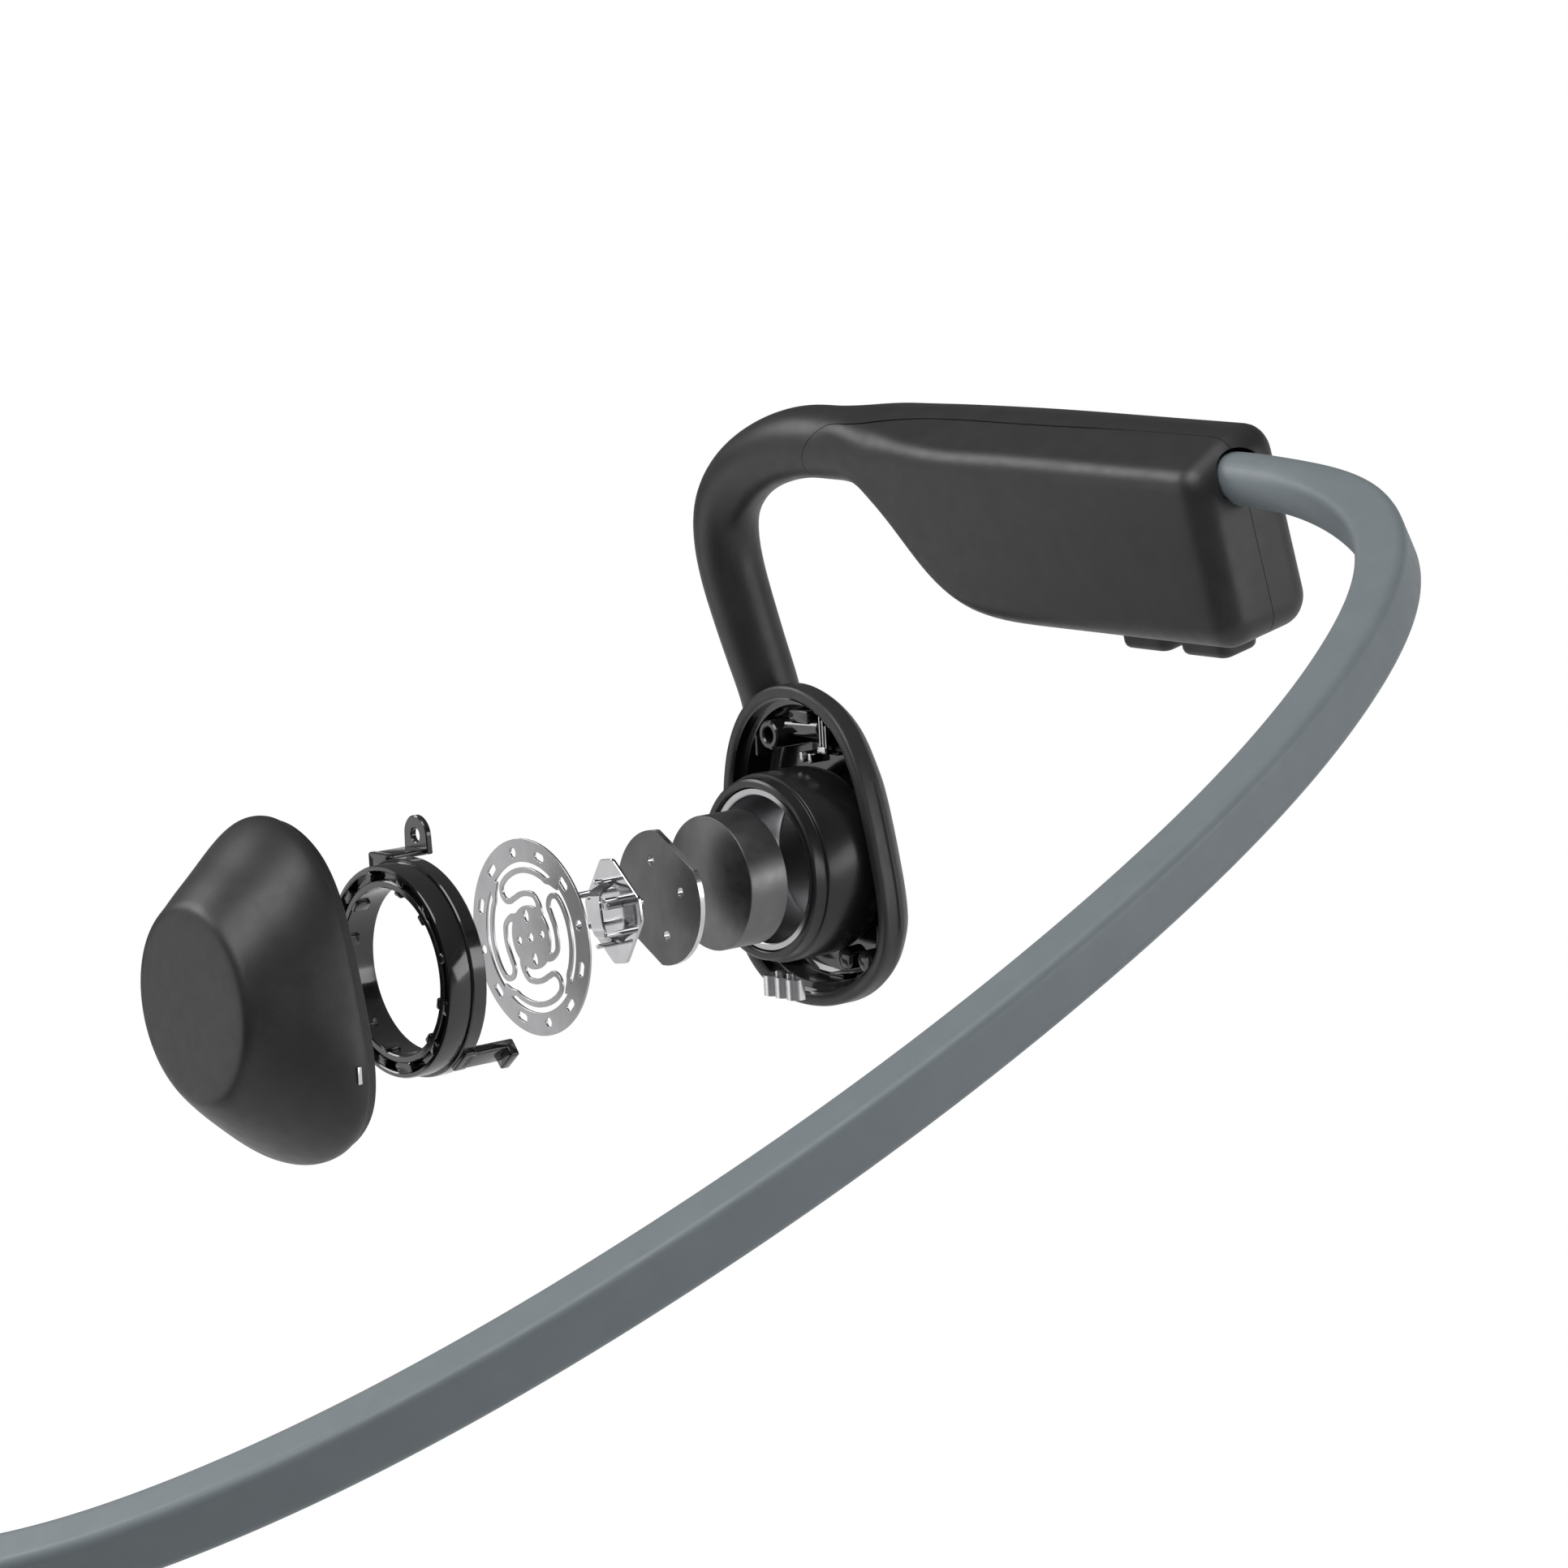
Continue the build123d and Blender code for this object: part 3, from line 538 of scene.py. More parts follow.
def housing_rings():
    """Rings of housing and hook, as (f, h, w) rows, from the rounded, leaning rear end."""
    rings = []
    for a in np.radians(np.linspace(90, 0, 9)):
        ring = section(0.0, REAR_R * (1 - math.cos(a)))
        rear = -2.04 + 0.0455 * ring[:, 0]
        rings.append(np.column_stack([rear + REAR_R * (1 - math.sin(a)), ring]))
    hook = hook_rings()
    for f in np.concatenate([np.arange(1.2, 30, 1.2), np.arange(30, NOSE_F + 0.01, 0.65)]):
        ring = np.column_stack([np.full(len(rings[0]), f), section(f)])
        m = float(smooth((f - 42) / 8.2))
        target = hook[0] + (f - hook[0][:, :1].mean()) * np.array([1.0, 0, 0])
        ring[:, 1:] = ring[:, 1:] * (1 - m) + target[:, 1:] * m
        rings.append(ring)
    return rings + hook[1:]


def clip(v, tris, g):
    """Keep the part of a triangle mesh where g > 0; also returns the cut's edges."""
    v = [tuple(p) for p in v]
    cuts, faces, seam = {}, [], []

    def cut(i, j):
        key = (min(i, j), max(i, j))
        if key not in cuts:
            t = g[key[0]] / (g[key[0]] - g[key[1]])
            a, b = np.array(v[key[0]]), np.array(v[key[1]])
            cuts[key] = len(v)
            v.append(tuple(a + (b - a) * t))
        return cuts[key]

    for tri in tris:
        kept = [g[i] > 0 for i in tri]
        if all(kept):
            faces.append(tuple(tri))
            continue
        if not any(kept):
            continue
        poly, edge = [], []
        for k in range(3):
            i, j = tri[k], tri[(k + 1) % 3]
            if kept[k]:
                poly.append(i)
            if kept[k] != kept[(k + 1) % 3]:
                c = cut(i, j)
                poly.append(c)
                edge.append(c)
        faces.append(tuple(poly))
        seam.append((edge[0], edge[1]))
    return np.array(v), faces, seam


def triangles(faces):
    """Faces cut into triangle fans."""
    out = []
    for f in faces:
        out += [(f[0], f[k], f[k + 1]) for k in range(1, len(f) - 1)]
    return out


def used_only(v, faces, seam):
    """Drop the vertices that no face uses."""
    used = sorted({i for f in faces for i in f})
    index = {old: new for new, old in enumerate(used)}
    faces = [tuple(index[i] for i in f) for f in faces]
    return v[used], faces, [(index[a], index[b]) for a, b in seam]


def with_return(v, faces, seam, depth, towards):
    """Turn the cut edges inwards so that a thin gap reads as a real joint line."""
    at = sorted({i for e in seam for i in e})
    inner = {i: len(v) + k for k, i in enumerate(at)}
    moved = []
    for i in at:
        d = towards(v[i]) - v[i]
        moved.append(v[i] + d / max(np.linalg.norm(d), 1e-6) * depth)
    faces = list(faces) + [(a, b, inner[b], inner[a]) for a, b in seam]
    return np.vstack([v, moved]) if moved else v, faces


SEAM_R = 5.4  # the lid's rounded front corner, and its middle (f, h)
SEAM_MIDDLE = (45.9, -1.8)
SEAM_GAP = 0.028  # half the joint line's width


def seam_field(v):
    """Positive on the inner lid, negative on the outer shell."""
    ahead = np.maximum(v[:, 0] - SEAM_MIDDLE[0], 0)
    above = np.maximum(v[:, 1] - SEAM_MIDDLE[1], 0)
    return np.minimum(-v[:, 2], SEAM_R - np.hypot(ahead, above))


def towards_core(p):
    """A point well inside the housing, near p."""
    f = p[0] + (2.0 if p[0] < 0 else 0)
    return np.array([f, min(max(p[1], -9.0), 0.5), min(max(p[2], -1.0), 1.0)])


# the pod's outline at its opening, as (u, v), and (n, inset) down its back wall
POD_OUTLINE = [
    (-3.2, 15), (0.6, 14.2), (3.9, 12.1), (6.2, 8.8), (7.9, 4), (9.1, -1), (9.7, -5.2),
    (9, -9.2), (6, -12.5), (1.8, -14.4), (-2.6, -15), (-7.2, -14.3), (-11, -11.8),
    (-13.3, -7.8), (-14.1, -2.5), (-13.9, 3), (-12.9, 8), (-10.6, 11.9), (-7, 14.3),
]
POD_BACK = np.array(
    [(-1.9, 0), (-2.5, -0.35), (-3.3, -1.05), (-4.1, -2.05), (-4.9, -3.3), (-5.6, -4.7), (-6.2, -6.4)]
)
POD_POINTS = 168
corners = np.array(POD_OUTLINE[::-1] + [POD_OUTLINE[-1]])
spots = chord(corners)
POD_LOOP = spline(spots, corners, closed=True)(
    np.linspace(0, spots[-1], POD_POINTS, endpoint=False)
)
POD_NORMALS = normals2d(POD_LOOP)


def pod_field(v):
    """Positive outside the pod's back wall less 0.4 mm, so the hook can end in the wall."""
    d = in_housing(v) - POD
    uvn = np.column_stack([d @ POD_U, d @ POD_V, d @ POD_N])
    gap = np.linalg.norm(uvn[:, None, :2] - POD_LOOP[None], axis=2)
    k = gap.argmin(1)
    outside = ((uvn[:, :2] - POD_LOOP[k]) * POD_NORMALS[k]).sum(1)
    depth = -uvn[:, 2]
    dome = np.interp(depth, -POD_BACK[:, 0], -POD_BACK[:, 1])
    return np.maximum(outside + dome + 0.4, depth - 6.0)


def drop_region(v, faces, g):
    """Keep the part of a mesh where g > 0."""
    v, faces, seam = clip(v, triangles(faces), g)
    return used_only(v, faces, seam)


BAND_HOLE_R = 2.55
PORT_MIDDLE_F = 23.05
PORT_HALF = (5.25, 2.1)


def build_housing(right):
    """Lid and shell of one housing; the shell's skin carries on as the hook."""
    side = "right" if right else "left"
    soup = Soup().rings(housing_rings(), True, True)
    v, faces = soup.points(), soup.f
    v, faces, _ = drop_region(v, faces, pod_field(v))
    # the band's hole in the rear end
    hole = np.where(v[:, 0] < 0.6, np.hypot(v[:, 1], v[:, 2]) - BAND_HOLE_R, 1.0)
    v, faces, seam = drop_region(v, faces, hole)
    v, faces = with_return(v, faces, seam, 1.5, lambda p: p + np.array([1.0, 0, 0]))
    if right:
        # the charge port's opening underneath
        along = abs(v[:, 0] - PORT_MIDDLE_F) - PORT_HALF[0]
        across = abs(v[:, 2]) - PORT_HALF[1]
        port = np.where(v[:, 1] < -12, np.maximum(along, across), 1.0)
        v, faces, seam = drop_region(v, faces, port)
        v, faces = with_return(v, faces, seam, 1.2, lambda p: p + np.array([0, 1.0, 0]))
    for name, sign in (("housing_lid", 1), ("housing_shell", -1)):
        field = sign * seam_field(v) - SEAM_GAP
        part = drop_region(v, faces, field)
        piece = Soup().add(*with_return(*part, 0.7, towards_core))
        nodes = [f"{name}_{side}"]
        if sign < 0:
            nodes.append(f"hook_sleeve_{side}")
        skin = f"{name}_skin_{side}"
        make(skin, piece, in_housing, SOFT, "headset", nodes, 50, not right)


# ---- neckband ----
# control points of the band's middle line, as (x, y), and half its thickness
CONTROL = [
    (69.45, 49.9), (73.25, 27.6), (54.3, 8.25), (17.1, -0.37),
    (-17.1, -0.37), (-54.3, 8.25), (-73.25, 27.6), (-75.81, 48.44),
]
BAND_HALF = 2.2


def de_boor(t, control):
    """A point on the clamped cubic B-spline of these control points."""
    spans = len(control) - 3
    knots = [0.0] * 3 + [i / spans for i in range(spans + 1)] + [1.0] * 3
    k = min(int(t * spans), spans - 1) + 3
    d = [np.array(control[j + k - 3], float) for j in range(4)]
    for r in range(1, 4):
        for j in range(3, r - 1, -1):
            low = knots[j + k - 3]
            alpha = (t - low) / (knots[j + 1 + k - r] - low)
            d[j] = (1 - alpha) * d[j - 1] + alpha * d[j]
    return d[3]


def build_band():
    """Rounded square in the middle, round where it enters the housings."""
    line = np.array([de_boor(t, CONTROL) for t in np.linspace(0, 1, 361)])
    reach = np.array([[3.0], [2.0], [1.0]])  # three more stations into each housing
    left_heading = np.array([math.sin(LEFT_SPLAY), math.cos(LEFT_SPLAY)])
    line = np.vstack([line[0] + FORWARD[:2] * reach, line, (line[-1] + left_heading * reach)[::-1]])
    s = chord(line)
    tangent = np.gradient(line, axis=0)
    tangent /= np.linalg.norm(tangent, axis=1)[:, None]
    box = round_polygon(box_corners(2.1, BAND_HALF), [0.8] * 4, arc=11, edge=7)
    angle = np.arctan2(box[:, 1], box[:, 0])
    ring = BAND_HALF * np.column_stack([np.cos(angle), np.sin(angle)])
    rings = []
    for i, (x, y) in enumerate(line):
        from_end = min(s[i], s[-1] - s[i])
        m = float(smooth((from_end - 9) / 16))
        shape = ring * (1 - m) + box * m
        across = np.array([tangent[i][1], -tangent[i][0], 0])
        centre = np.array([x, y, BAND_HALF])
        rings.append(centre + shape[:, :1] * across + shape[:, 1:] * np.array([0, 0, 1.0]))
    soup = Soup().rings(rings, True, True)
    nodes = ["neckband_sleeve"]
    make("neckband_skin", soup, lambda p: p, BAND, "headset", nodes, 60)


# ---- pods ----
def build_pod(right):
    side = "right" if right else "left"
    loop = POD_LOOP
    # the back half stands a little proud on the pod's +u side
    u, v = loop.T
    bulge = smooth((u - 4) / 4) * smooth((9.5 - v) / 3) * smooth((v + 9) / 3)
    step = loop + POD_NORMALS * (0.22 * bulge)[:, None]
    rim = [
        (-1.16, -0.10), (-1.05, 0.0), (-0.42, 0.0), (-0.20, -0.06),
        (-0.06, -0.20), (0, -0.42), (0, -0.9), (0, -1.45),
    ]
    steps = [(grow(loop, inset), n) for inset, n in rim] + [(step, -1.57)]
    back = len(POD_BACK)
    for n, inset in spline(np.arange(back), POD_BACK)(np.linspace(0, back - 1, 19)):
        steps.append((grow(step, inset), n))
    middle, last = steps[-1][0].mean(0), steps[-1][0]
    for k in (0.7, 0.4, 0.15):
        steps.append((middle + (last - middle) * k, -6.2 - 0.15 * (1 - k)))
    shell = Soup().rings([flat(ring, n) for ring, n in steps], False, True)
    name = f"pod_shell_{side}"
    make(f"{name}_outer", shell, in_pod, SHELL, "headset", [name], 50, not right)
    if right:
        build_pod_inside()


def build_pod_inside():
    """The open pod's inner wall, bosses, ribs and metal pins."""
    wall = [
        (-1.16, -0.10), (-1.35, -0.22), (-1.38, -1.25), (-1.95, -1.35),
        (-2.0, -3.4), (-2.2, -3.9), (-2.8, -4.3), (-3.6, -4.4),
    ]
    soup = Soup().rings([flat(grow(POD_LOOP, inset), n) for inset, n in wall], False, True)
    # screw boss, cross bar, saddle and ribs above the cup
    boss = [
        (0.72, -2.0), (0.72, 0.55), (0.85, 0.7), (1.2, 0.7), (1.35, 0.55), (1.35, -4.5), (0.9, -4.5),
    ]
    soup.lathe(boss, 48, (-5.35, 10.3))
    soup.rod((-4.4, 10.9, -1.3), (0.4, 11.1, -1.3), 0.85)
    soup.rod((0.3, 11.1, -1.3), (1.6, 11.1, -1.3), 0.55)
    soup.block((-3.6, 11.5, -3.0), (-0.8, 12.7, -0.5), 0.15)
    soup.block((-2.2, 8.6, -4.4), (1.8, 10.0, -1.9), 0.15)
    soup.block((1.3, 8.9, -3.0), (1.7, 11.8, -0.6), 0.1)
    soup.block((2.0, 9.2, -2.6), (3.7, 9.6, -1.2), 0.1)
    soup.block((-9.6, 7.8, -2.8), (-9.2, 9.8, -1.0), 0.1)
    # two round posts and ribs in the lower corner
    post = [(1e-4, -1.25), (0.85, -1.25), (1.05, -1.4), (1.1, -3.1), (1e-4, -3.1)]
    for u in (1.9, 4.7):
        soup.lathe(post, 48, (u, -10.2))
    soup.block((-1.0, -12.4, -3.2), (1.2, -11.9, -1.6), 0.1)
    soup.block((6.3, -9.0, -3.3), (6.7, -6.6, -1.5), 0.1)
    make("pod_inside_right", soup, in_pod, GLOSS, "headset", [])
    metal = Soup()
    for k in range(3):
        u = 0.9 + 0.42 * k
        metal.block((u, 9.4 - 0.2 * k, -1.0), (u + 0.2, 12.6 - 0.5 * k, -0.35), 0.05)
    metal.block((0.7, 9.0, -0.7), (1.9, 9.6, -0.2), 0.08)
    metal.block((-1.0, 8.15, -1.9), (-0.45, 9.1, 0.6), 0.1)
    metal.block((0.0, 8.1, -1.9), (0.5, 9.0, 0.4), 0.1)
    nodes = ["pod_contacts_right"]
    make("pod_pins_right", metal, in_pod, CHROME, "headset", nodes)


CURL_R = 0.83
CURL_PITCH = 2 * CURL_R
RIBBON_HALF = 0.11
CLIP_U = -4.5  # the first curl's middle


def build_clip():
    """Ribbon of three curls standing at the foot of the pod."""
    line = [(-CURL_R, -1.6), (-CURL_R, -0.1)]
    for i in range(3):
        for a in np.radians(np.linspace(178, 2, 17)):
            line.append((CURL_PITCH * i + CURL_R * math.cos(a), CURL_R * math.sin(a)))
    line.append((CURL_PITCH * 2 + CURL_R, -0.3))
    line = np.array(line)
    normal = line_normals(line)
    loop = np.vstack([line + normal * RIBBON_HALF, (line - normal * RIBBON_HALF)[::-1]])
    loop += [CLIP_U, 2.2]
    low, high = -13.8, -11.9
    lower = upright(loop, low)
    upper = lower + [0, high - low, 0]
    n = len(loop)
    half = n // 2
    soup = Soup().rings([lower, upper])
    both = np.vstack([lower, upper])
    faces = []
    for k in range(half - 1):
        faces.append((k, k + 1, n - 2 - k, n - 1 - k))
        faces.append((n + k, n + k + 1, 2 * n - 2 - k, 2 * n - 1 - k))
    soup.add(both, faces)
    for i in (0.5, 1.5):
        u = CLIP_U + CURL_PITCH * i
        soup.rod((u, -13.2, 2.1), (u, -11.45, 2.1), 0.42, 24, 0.08)
    nodes = ["contact_clip_right"]
    make("contact_clip_ribbon", soup, in_pod, CLIP, "headset", nodes, 30)


# ---- driver ----
# the cup and the ring stand off the driver's middle by this much
CUP_AT = (-0.85, -0.35)
RING_AT = np.array([-1.2, 0.0, 0.0])


def build_cup():
    """Cup, steel liner and coil, each a closed (r, z) profile turned about the axis."""
    profile = [
        (4.4, -4.3), (6.0, -3.9), (7.7, -3.1), (8.3, -2.4), (8.65, -1.6), (8.8, -0.6), (8.8, 4.15),
        (8.72, 4.28), (8.52, 4.34), (8.46, 4.44), (8.46, 5.2), (8.40, 5.45), (8.2, 5.6),
        (7.95, 5.62), (7.72, 5.58), (7.64, 5.45), (7.6, -2.98), (0.0, -2.98), (0.0, -4.3),
    ]
    soup = Soup().lathe(profile, 160, CUP_AT)
    make("driver_cup_body", soup, on_axis, CUP, "headset", ["driver_cup_right"], 32)
    profile = [
        (7.55, 4.6), (7.55, 5.1), (7.47, 5.2), (6.98, 5.2), (6.88, 5.1), (6.86, 4.5), (7.24, 4.3),
        (7.24, -2.1), (7.0, -2.5), (0.0, -2.5), (0.0, -2.6), (7.1, -2.6), (7.34, -2.2), (7.34, 4.5),
    ]
    soup = Soup().lathe(profile, 160, CUP_AT)
    make("cup_liner_ring", soup, on_axis, LINER, "headset", ["cup_liner_right"], 32)
    # coil wound on the liner: one bead per turn
    profile = [(7.38, -1.8)]
    for turn in range(13):
        for a in np.radians((20, 60, 90, 120, 160)):
            profile.append((7.45 + 0.1 * math.sin(a), -1.6 + 0.4 * turn - 0.19 * math.cos(a)))
    profile.append((7.38, 3.4))
    soup = Soup().lathe(profile, 120, CUP_AT)
    make("voice_coil_winding", soup, on_axis, COPPER, "headset", ["voice_coil_right"], 32)


def drawn_out(name, soup, mat, body, node, sharp, shift=0.0):
    """One drawn-out driver piece on its own body."""
    return make(name, soup, lambda p: on_axis(p + shift, body), mat, body, [node], sharp)


def build_magnet():
    r = 6.19
    profile = [
        (0.0, -1.8), (r - 0.1, -1.8), (r, -1.7), (r, 2.26), (r - 0.05, 2.36), (r - 0.14, 2.4), (0.0, 2.4),
    ]
    soup = Soup().lathe(profile, 192)
    drawn_out("magnet_body", soup, NICKEL, "magnet", "magnet_right", 32)


YOKE_FLAT = 5.35  # from the yoke plate's middle to each of its two flats


def build_yoke():
    """Round plate with two flats and four holes."""
    loop = circle(6.15, 360)
    axis = np.array(polar(1, 60))
    along = loop @ axis
    loop = loop - axis * (along - np.clip(along, -YOKE_FLAT, YOKE_FLAT))[:, None]
    # a flat keeps only its two end points
    on_flat = abs(along) > YOKE_FLAT + 0.001
    loop = loop[~(on_flat & np.roll(on_flat, 1) & np.roll(on_flat, -1))]
    holes = [circle(0.42, 28, polar(3.45, 15 + 90 * i)) for i in range(4)]
    soup = Soup().plate([loop, *holes], 2.46, 3.06, 0.05)
    yoke = drawn_out("yoke_disc", soup, DARK_STEEL, "yoke", "yoke_plate_right", 25)
    polish_edges(yoke, POD_N)


def polish_edges(obj, axis):
    """Give the cut edges of a stamped plate their bright look."""
    obj.data.materials.append(EDGE)
    for p in obj.data.polygons:
        if abs(float(np.dot(p.normal, axis))) < 0.2:
            p.material_index = 1


def strip_loop(line, width):
    """Closed, counter-clockwise outline of a strip of varying width round a line."""
    normal = line_normals(line)
    half = (np.broadcast_to(width, len(line)) / 2)[:, None]
    loop = np.vstack([line - normal * half, (line + normal * half)[::-1]])
    area = np.sum(loop[:, 0] * np.roll(loop[:, 1], -1) - np.roll(loop[:, 0], -1) * loop[:, 1])
    return loop if area > 0 else loop[::-1]


SPRING_HOLES_R = 7.62  # circle of the rim's holes and slots
SPRING_LOW = 5.66
SPRING_HIGH = 5.9
ARM_POINTS = 150


def spring_arm():
    """One serpentine arm: along the rim, round a bend and back to the middle disc."""
    line = [polar(6.95, 50), polar(6.62, 54), polar(6.28, 58.5)]
    line += [polar(5.98, d) for d in np.arange(63, 128, 5)]
    bend = np.array(polar(4.98, 130))
    line += [tuple(bend + polar(0.96, 130 + a)) for a in np.linspace(0, 180, 10)]
    line += [polar(3.92, d) for d in np.arange(122, 80, -5)]
    line += [polar(3.72, 74), polar(3.35, 66), polar(2.95, 61), polar(2.55, 58)]
    line = np.array(line)
    x = chord(line)
    line = spline(x, line)(np.linspace(0, x[-1], ARM_POINTS))
    s = np.linspace(0, 1, ARM_POINTS)
    width = 0.50 + 0.75 * (1 - smooth(s / 0.10)) + 0.5 * (1 - smooth((1 - s) / 0.08))
    return strip_loop(line, width)


def build_spring():
    """Rim, middle disc and four arms, cut from one sheet."""
    rim_holes = []
    slot = round_polygon(box_corners(0.36, 0.68), [0.3] * 4, 6, 1)
    for i in range(12):
        deg = 15 + 30 * i
        centre = polar(SPRING_HOLES_R, deg)
        rim_holes.append(turned(slot, deg) + centre if i % 3 else circle(0.44, 24, centre))
    soup = Soup()
    rim = [circle(8.77, 192), circle(6.72, 144), *rim_holes]
    soup.plate(rim, SPRING_LOW, SPRING_HIGH, 0.03)
    hub_holes = [circle(0.40, 24)]
    for deg, stretch, r in ((15, 1.0, 1.8), (105, 1.6, 1.95), (195, 1.0, 1.8), (285, 1.6, 1.95)):
        hub_holes.append(turned(circle(0.36, 24) * [stretch, 1.0], deg) + polar(r, deg))
    soup.plate([circle(2.85, 96), *hub_holes], SPRING_LOW, SPRING_HIGH, 0.03)
    arm = spring_arm()
    for i in range(4):
        # a hair thinner, so that no face lies on the rim's or the disc's
        soup.plate([turned(arm, 90 * i)], SPRING_LOW + 0.001, SPRING_HIGH - 0.001, 0.03)
    drawn_out("spring_disc", soup, SPRING, "spring", "spring_plate_right", 25)


BRACKET_TURN = 8
LEAF_HALF = 0.85
LEAF_HALF_THICK = 0.13


def bracket_leaf(base):
    """An arched ribbon that rises from the plate, runs across and comes down."""
    arch = np.array([
        (-2.7, base), (-2.35, base + 0.5), (-1.9, 5.0), (-1.2, 5.25), (0, 5.3),
        (1.2, 5.25), (1.9, 5.0), (2.35, base + 0.5), (2.7, base),
    ])
    x = chord(arch)
    arch = spline(x, arch)(np.linspace(0, x[-1], 48))
    w, t = LEAF_HALF, LEAF_HALF_THICK
    edges = [(-w, t), (w, t), (w, -t), (-w, -t)]
    rings = []
    for p, q in zip(arch, line_normals(arch)):
        rings.append(np.array([(a, p[0] + q[0] * b, p[1] + q[1] * b) for a, b in edges]))
    return Soup().rings(rings, True, True)


def build_bracket():
    low, high = 3.12, 3.47
    corners = [
        (-0.95, -4.7), (0.95, -4.7), (4.1, -1.1), (4.1, 1.1),
        (0.95, 4.7), (-0.95, 4.7), (-4.1, 1.1), (-4.1, -1.1),
    ]
    loop = turned(round_polygon(corners, [0.7] * 8, 6, 1), BRACKET_TURN)
    soup = Soup().plate([loop], low, high, 0.06)
    leaf = bracket_leaf(high)
    soup.add(turn_soup(leaf, BRACKET_TURN), leaf.f)
    pins = (
        (-2.2, 1.5, 0.3, 6.2), (-2.2, -1.4, 0.3, 6.0), (1.9, 1.5, 0.26, 5.8),
        (1.9, -1.6, 0.26, 5.8), (0.0, 2.9, 0.22, 5.4), (0.0, -2.9, 0.22, 5.4),
    )
    for u, v, r, top in pins:
        soup.rod((u, v, high - 0.05), (u, v, top), r)
    soup.rod((1.2, 0.9, high), (1.2, 0.9, 5.2), 0.42, 24, 0.1)
    soup.rod((2.35, 0.95, low - 1.15), (2.35, 0.95, low + 0.05), 0.42, 24, 0.1)
    name = "coil_bracket_folded"
    drawn_out(name, soup, CHROME, "bracket", "coil_bracket_right", 32)


TAB_AT = (-4.6, 10.6)  # the screw tab's hole
TAB_R = 1.75


def build_ring():
    """Stepped ring with lugs inside, a screw tab above and a hooked arm below."""
    soup = Soup()
    profile = [
        (9.0, 4.5), (9.52, 4.4), (9.6, 4.5), (9.6, 5.7), (9.52, 5.82), (9.32, 5.9), (9.3, 7.8),
        (9.2, 7.98), (8.9, 8.0), (8.8, 7.9), (8.78, 7.3), (8.05, 7.26), (8.0, 7.35), (8.0, 7.7),
        (7.92, 7.78), (7.45, 7.78), (7.35, 7.7), (7.35, 6.0), (7.35, 4.7), (7.5, 4.6), (8.0, 4.7),
        (8.0, 5.7), (8.95, 5.72),
    ]
    soup.lathe(profile, 192)
    for i in range(12):
        lug = Soup()
        if i % 3 == 0:
            lug.rod((8.4, 0, 7.1), (8.4, 0, 8.05), 0.45, 24, 0.1)
        else:
            lug.block((8.02, -0.62, 7.1), (8.78, 0.62, 7.9), 0.12)
            lug.block((7.05, -0.5, 6.3), (7.5, 0.5, 7.85), 0.1)
        soup.add(turn_soup(lug, 15 + 30 * i), lug.f)
    # strip to the screw tab above
    tu, tv = TAB_AT
    soup.block((tu - 1.5, 7.6, 4.6), (tu + 1.5, 9.55, 5.4), 0.15)
    soup.block((tu - 1.4, 8.95, 0.75), (tu + 1.4, 9.5, 5.3), 0.12)
    tab = [(tu - TAB_R, 9.05), (tu + TAB_R, 9.05)]
    for a in np.radians(np.arange(0, 181, 9)):
        tab.append((tu + TAB_R * math.cos(a), tv + TAB_R * math.sin(a)))
    soup.plate([np.array(tab), circle(0.62, 28, TAB_AT)], 0.75, 1.35, 0.1)
    # hooked arm below
    arm = Soup()
    arm.block((9.05, -1.2, 0.2), (9.95, 1.2, 5.2), 0.16)
    arm.block((9.4, -1.2, 0.2), (10.75, 1.2, 1.1), 0.16)
    arm.block((9.0, -1.4, 4.3), (9.95, 1.4, 5.6), 0.16)
    soup.add(turn_soup(arm, -50), arm.f)
    name = "ring_bracket_body"
    drawn_out(name, soup, GLOSS, "ring", "ring_bracket_right", 32, RING_AT)


PAD_MIDDLE = np.array([-2.2, -0.1])
PAD_TOP_WALL = 1.1
PAD_SIDE_WALL = 1.5


def pad_ring(d, su, sv, du, dv, ellipse):
    """The pod's outline scaled, moved and blended into an oval, at height d."""
    rel = POD_LOOP - PAD_MIDDLE
    ring = PAD_MIDDLE + rel * [su, sv] + [du, dv]
    a = np.arctan2(rel[:, 1] / 15.1, rel[:, 0] / 11.5)
    oval = PAD_MIDDLE + np.column_stack([11.3 * su * np.cos(a), 15.1 * sv * np.sin(a)]) + [du, dv]
    return flat(ring * (1 - ellipse) + oval * ellipse, d)


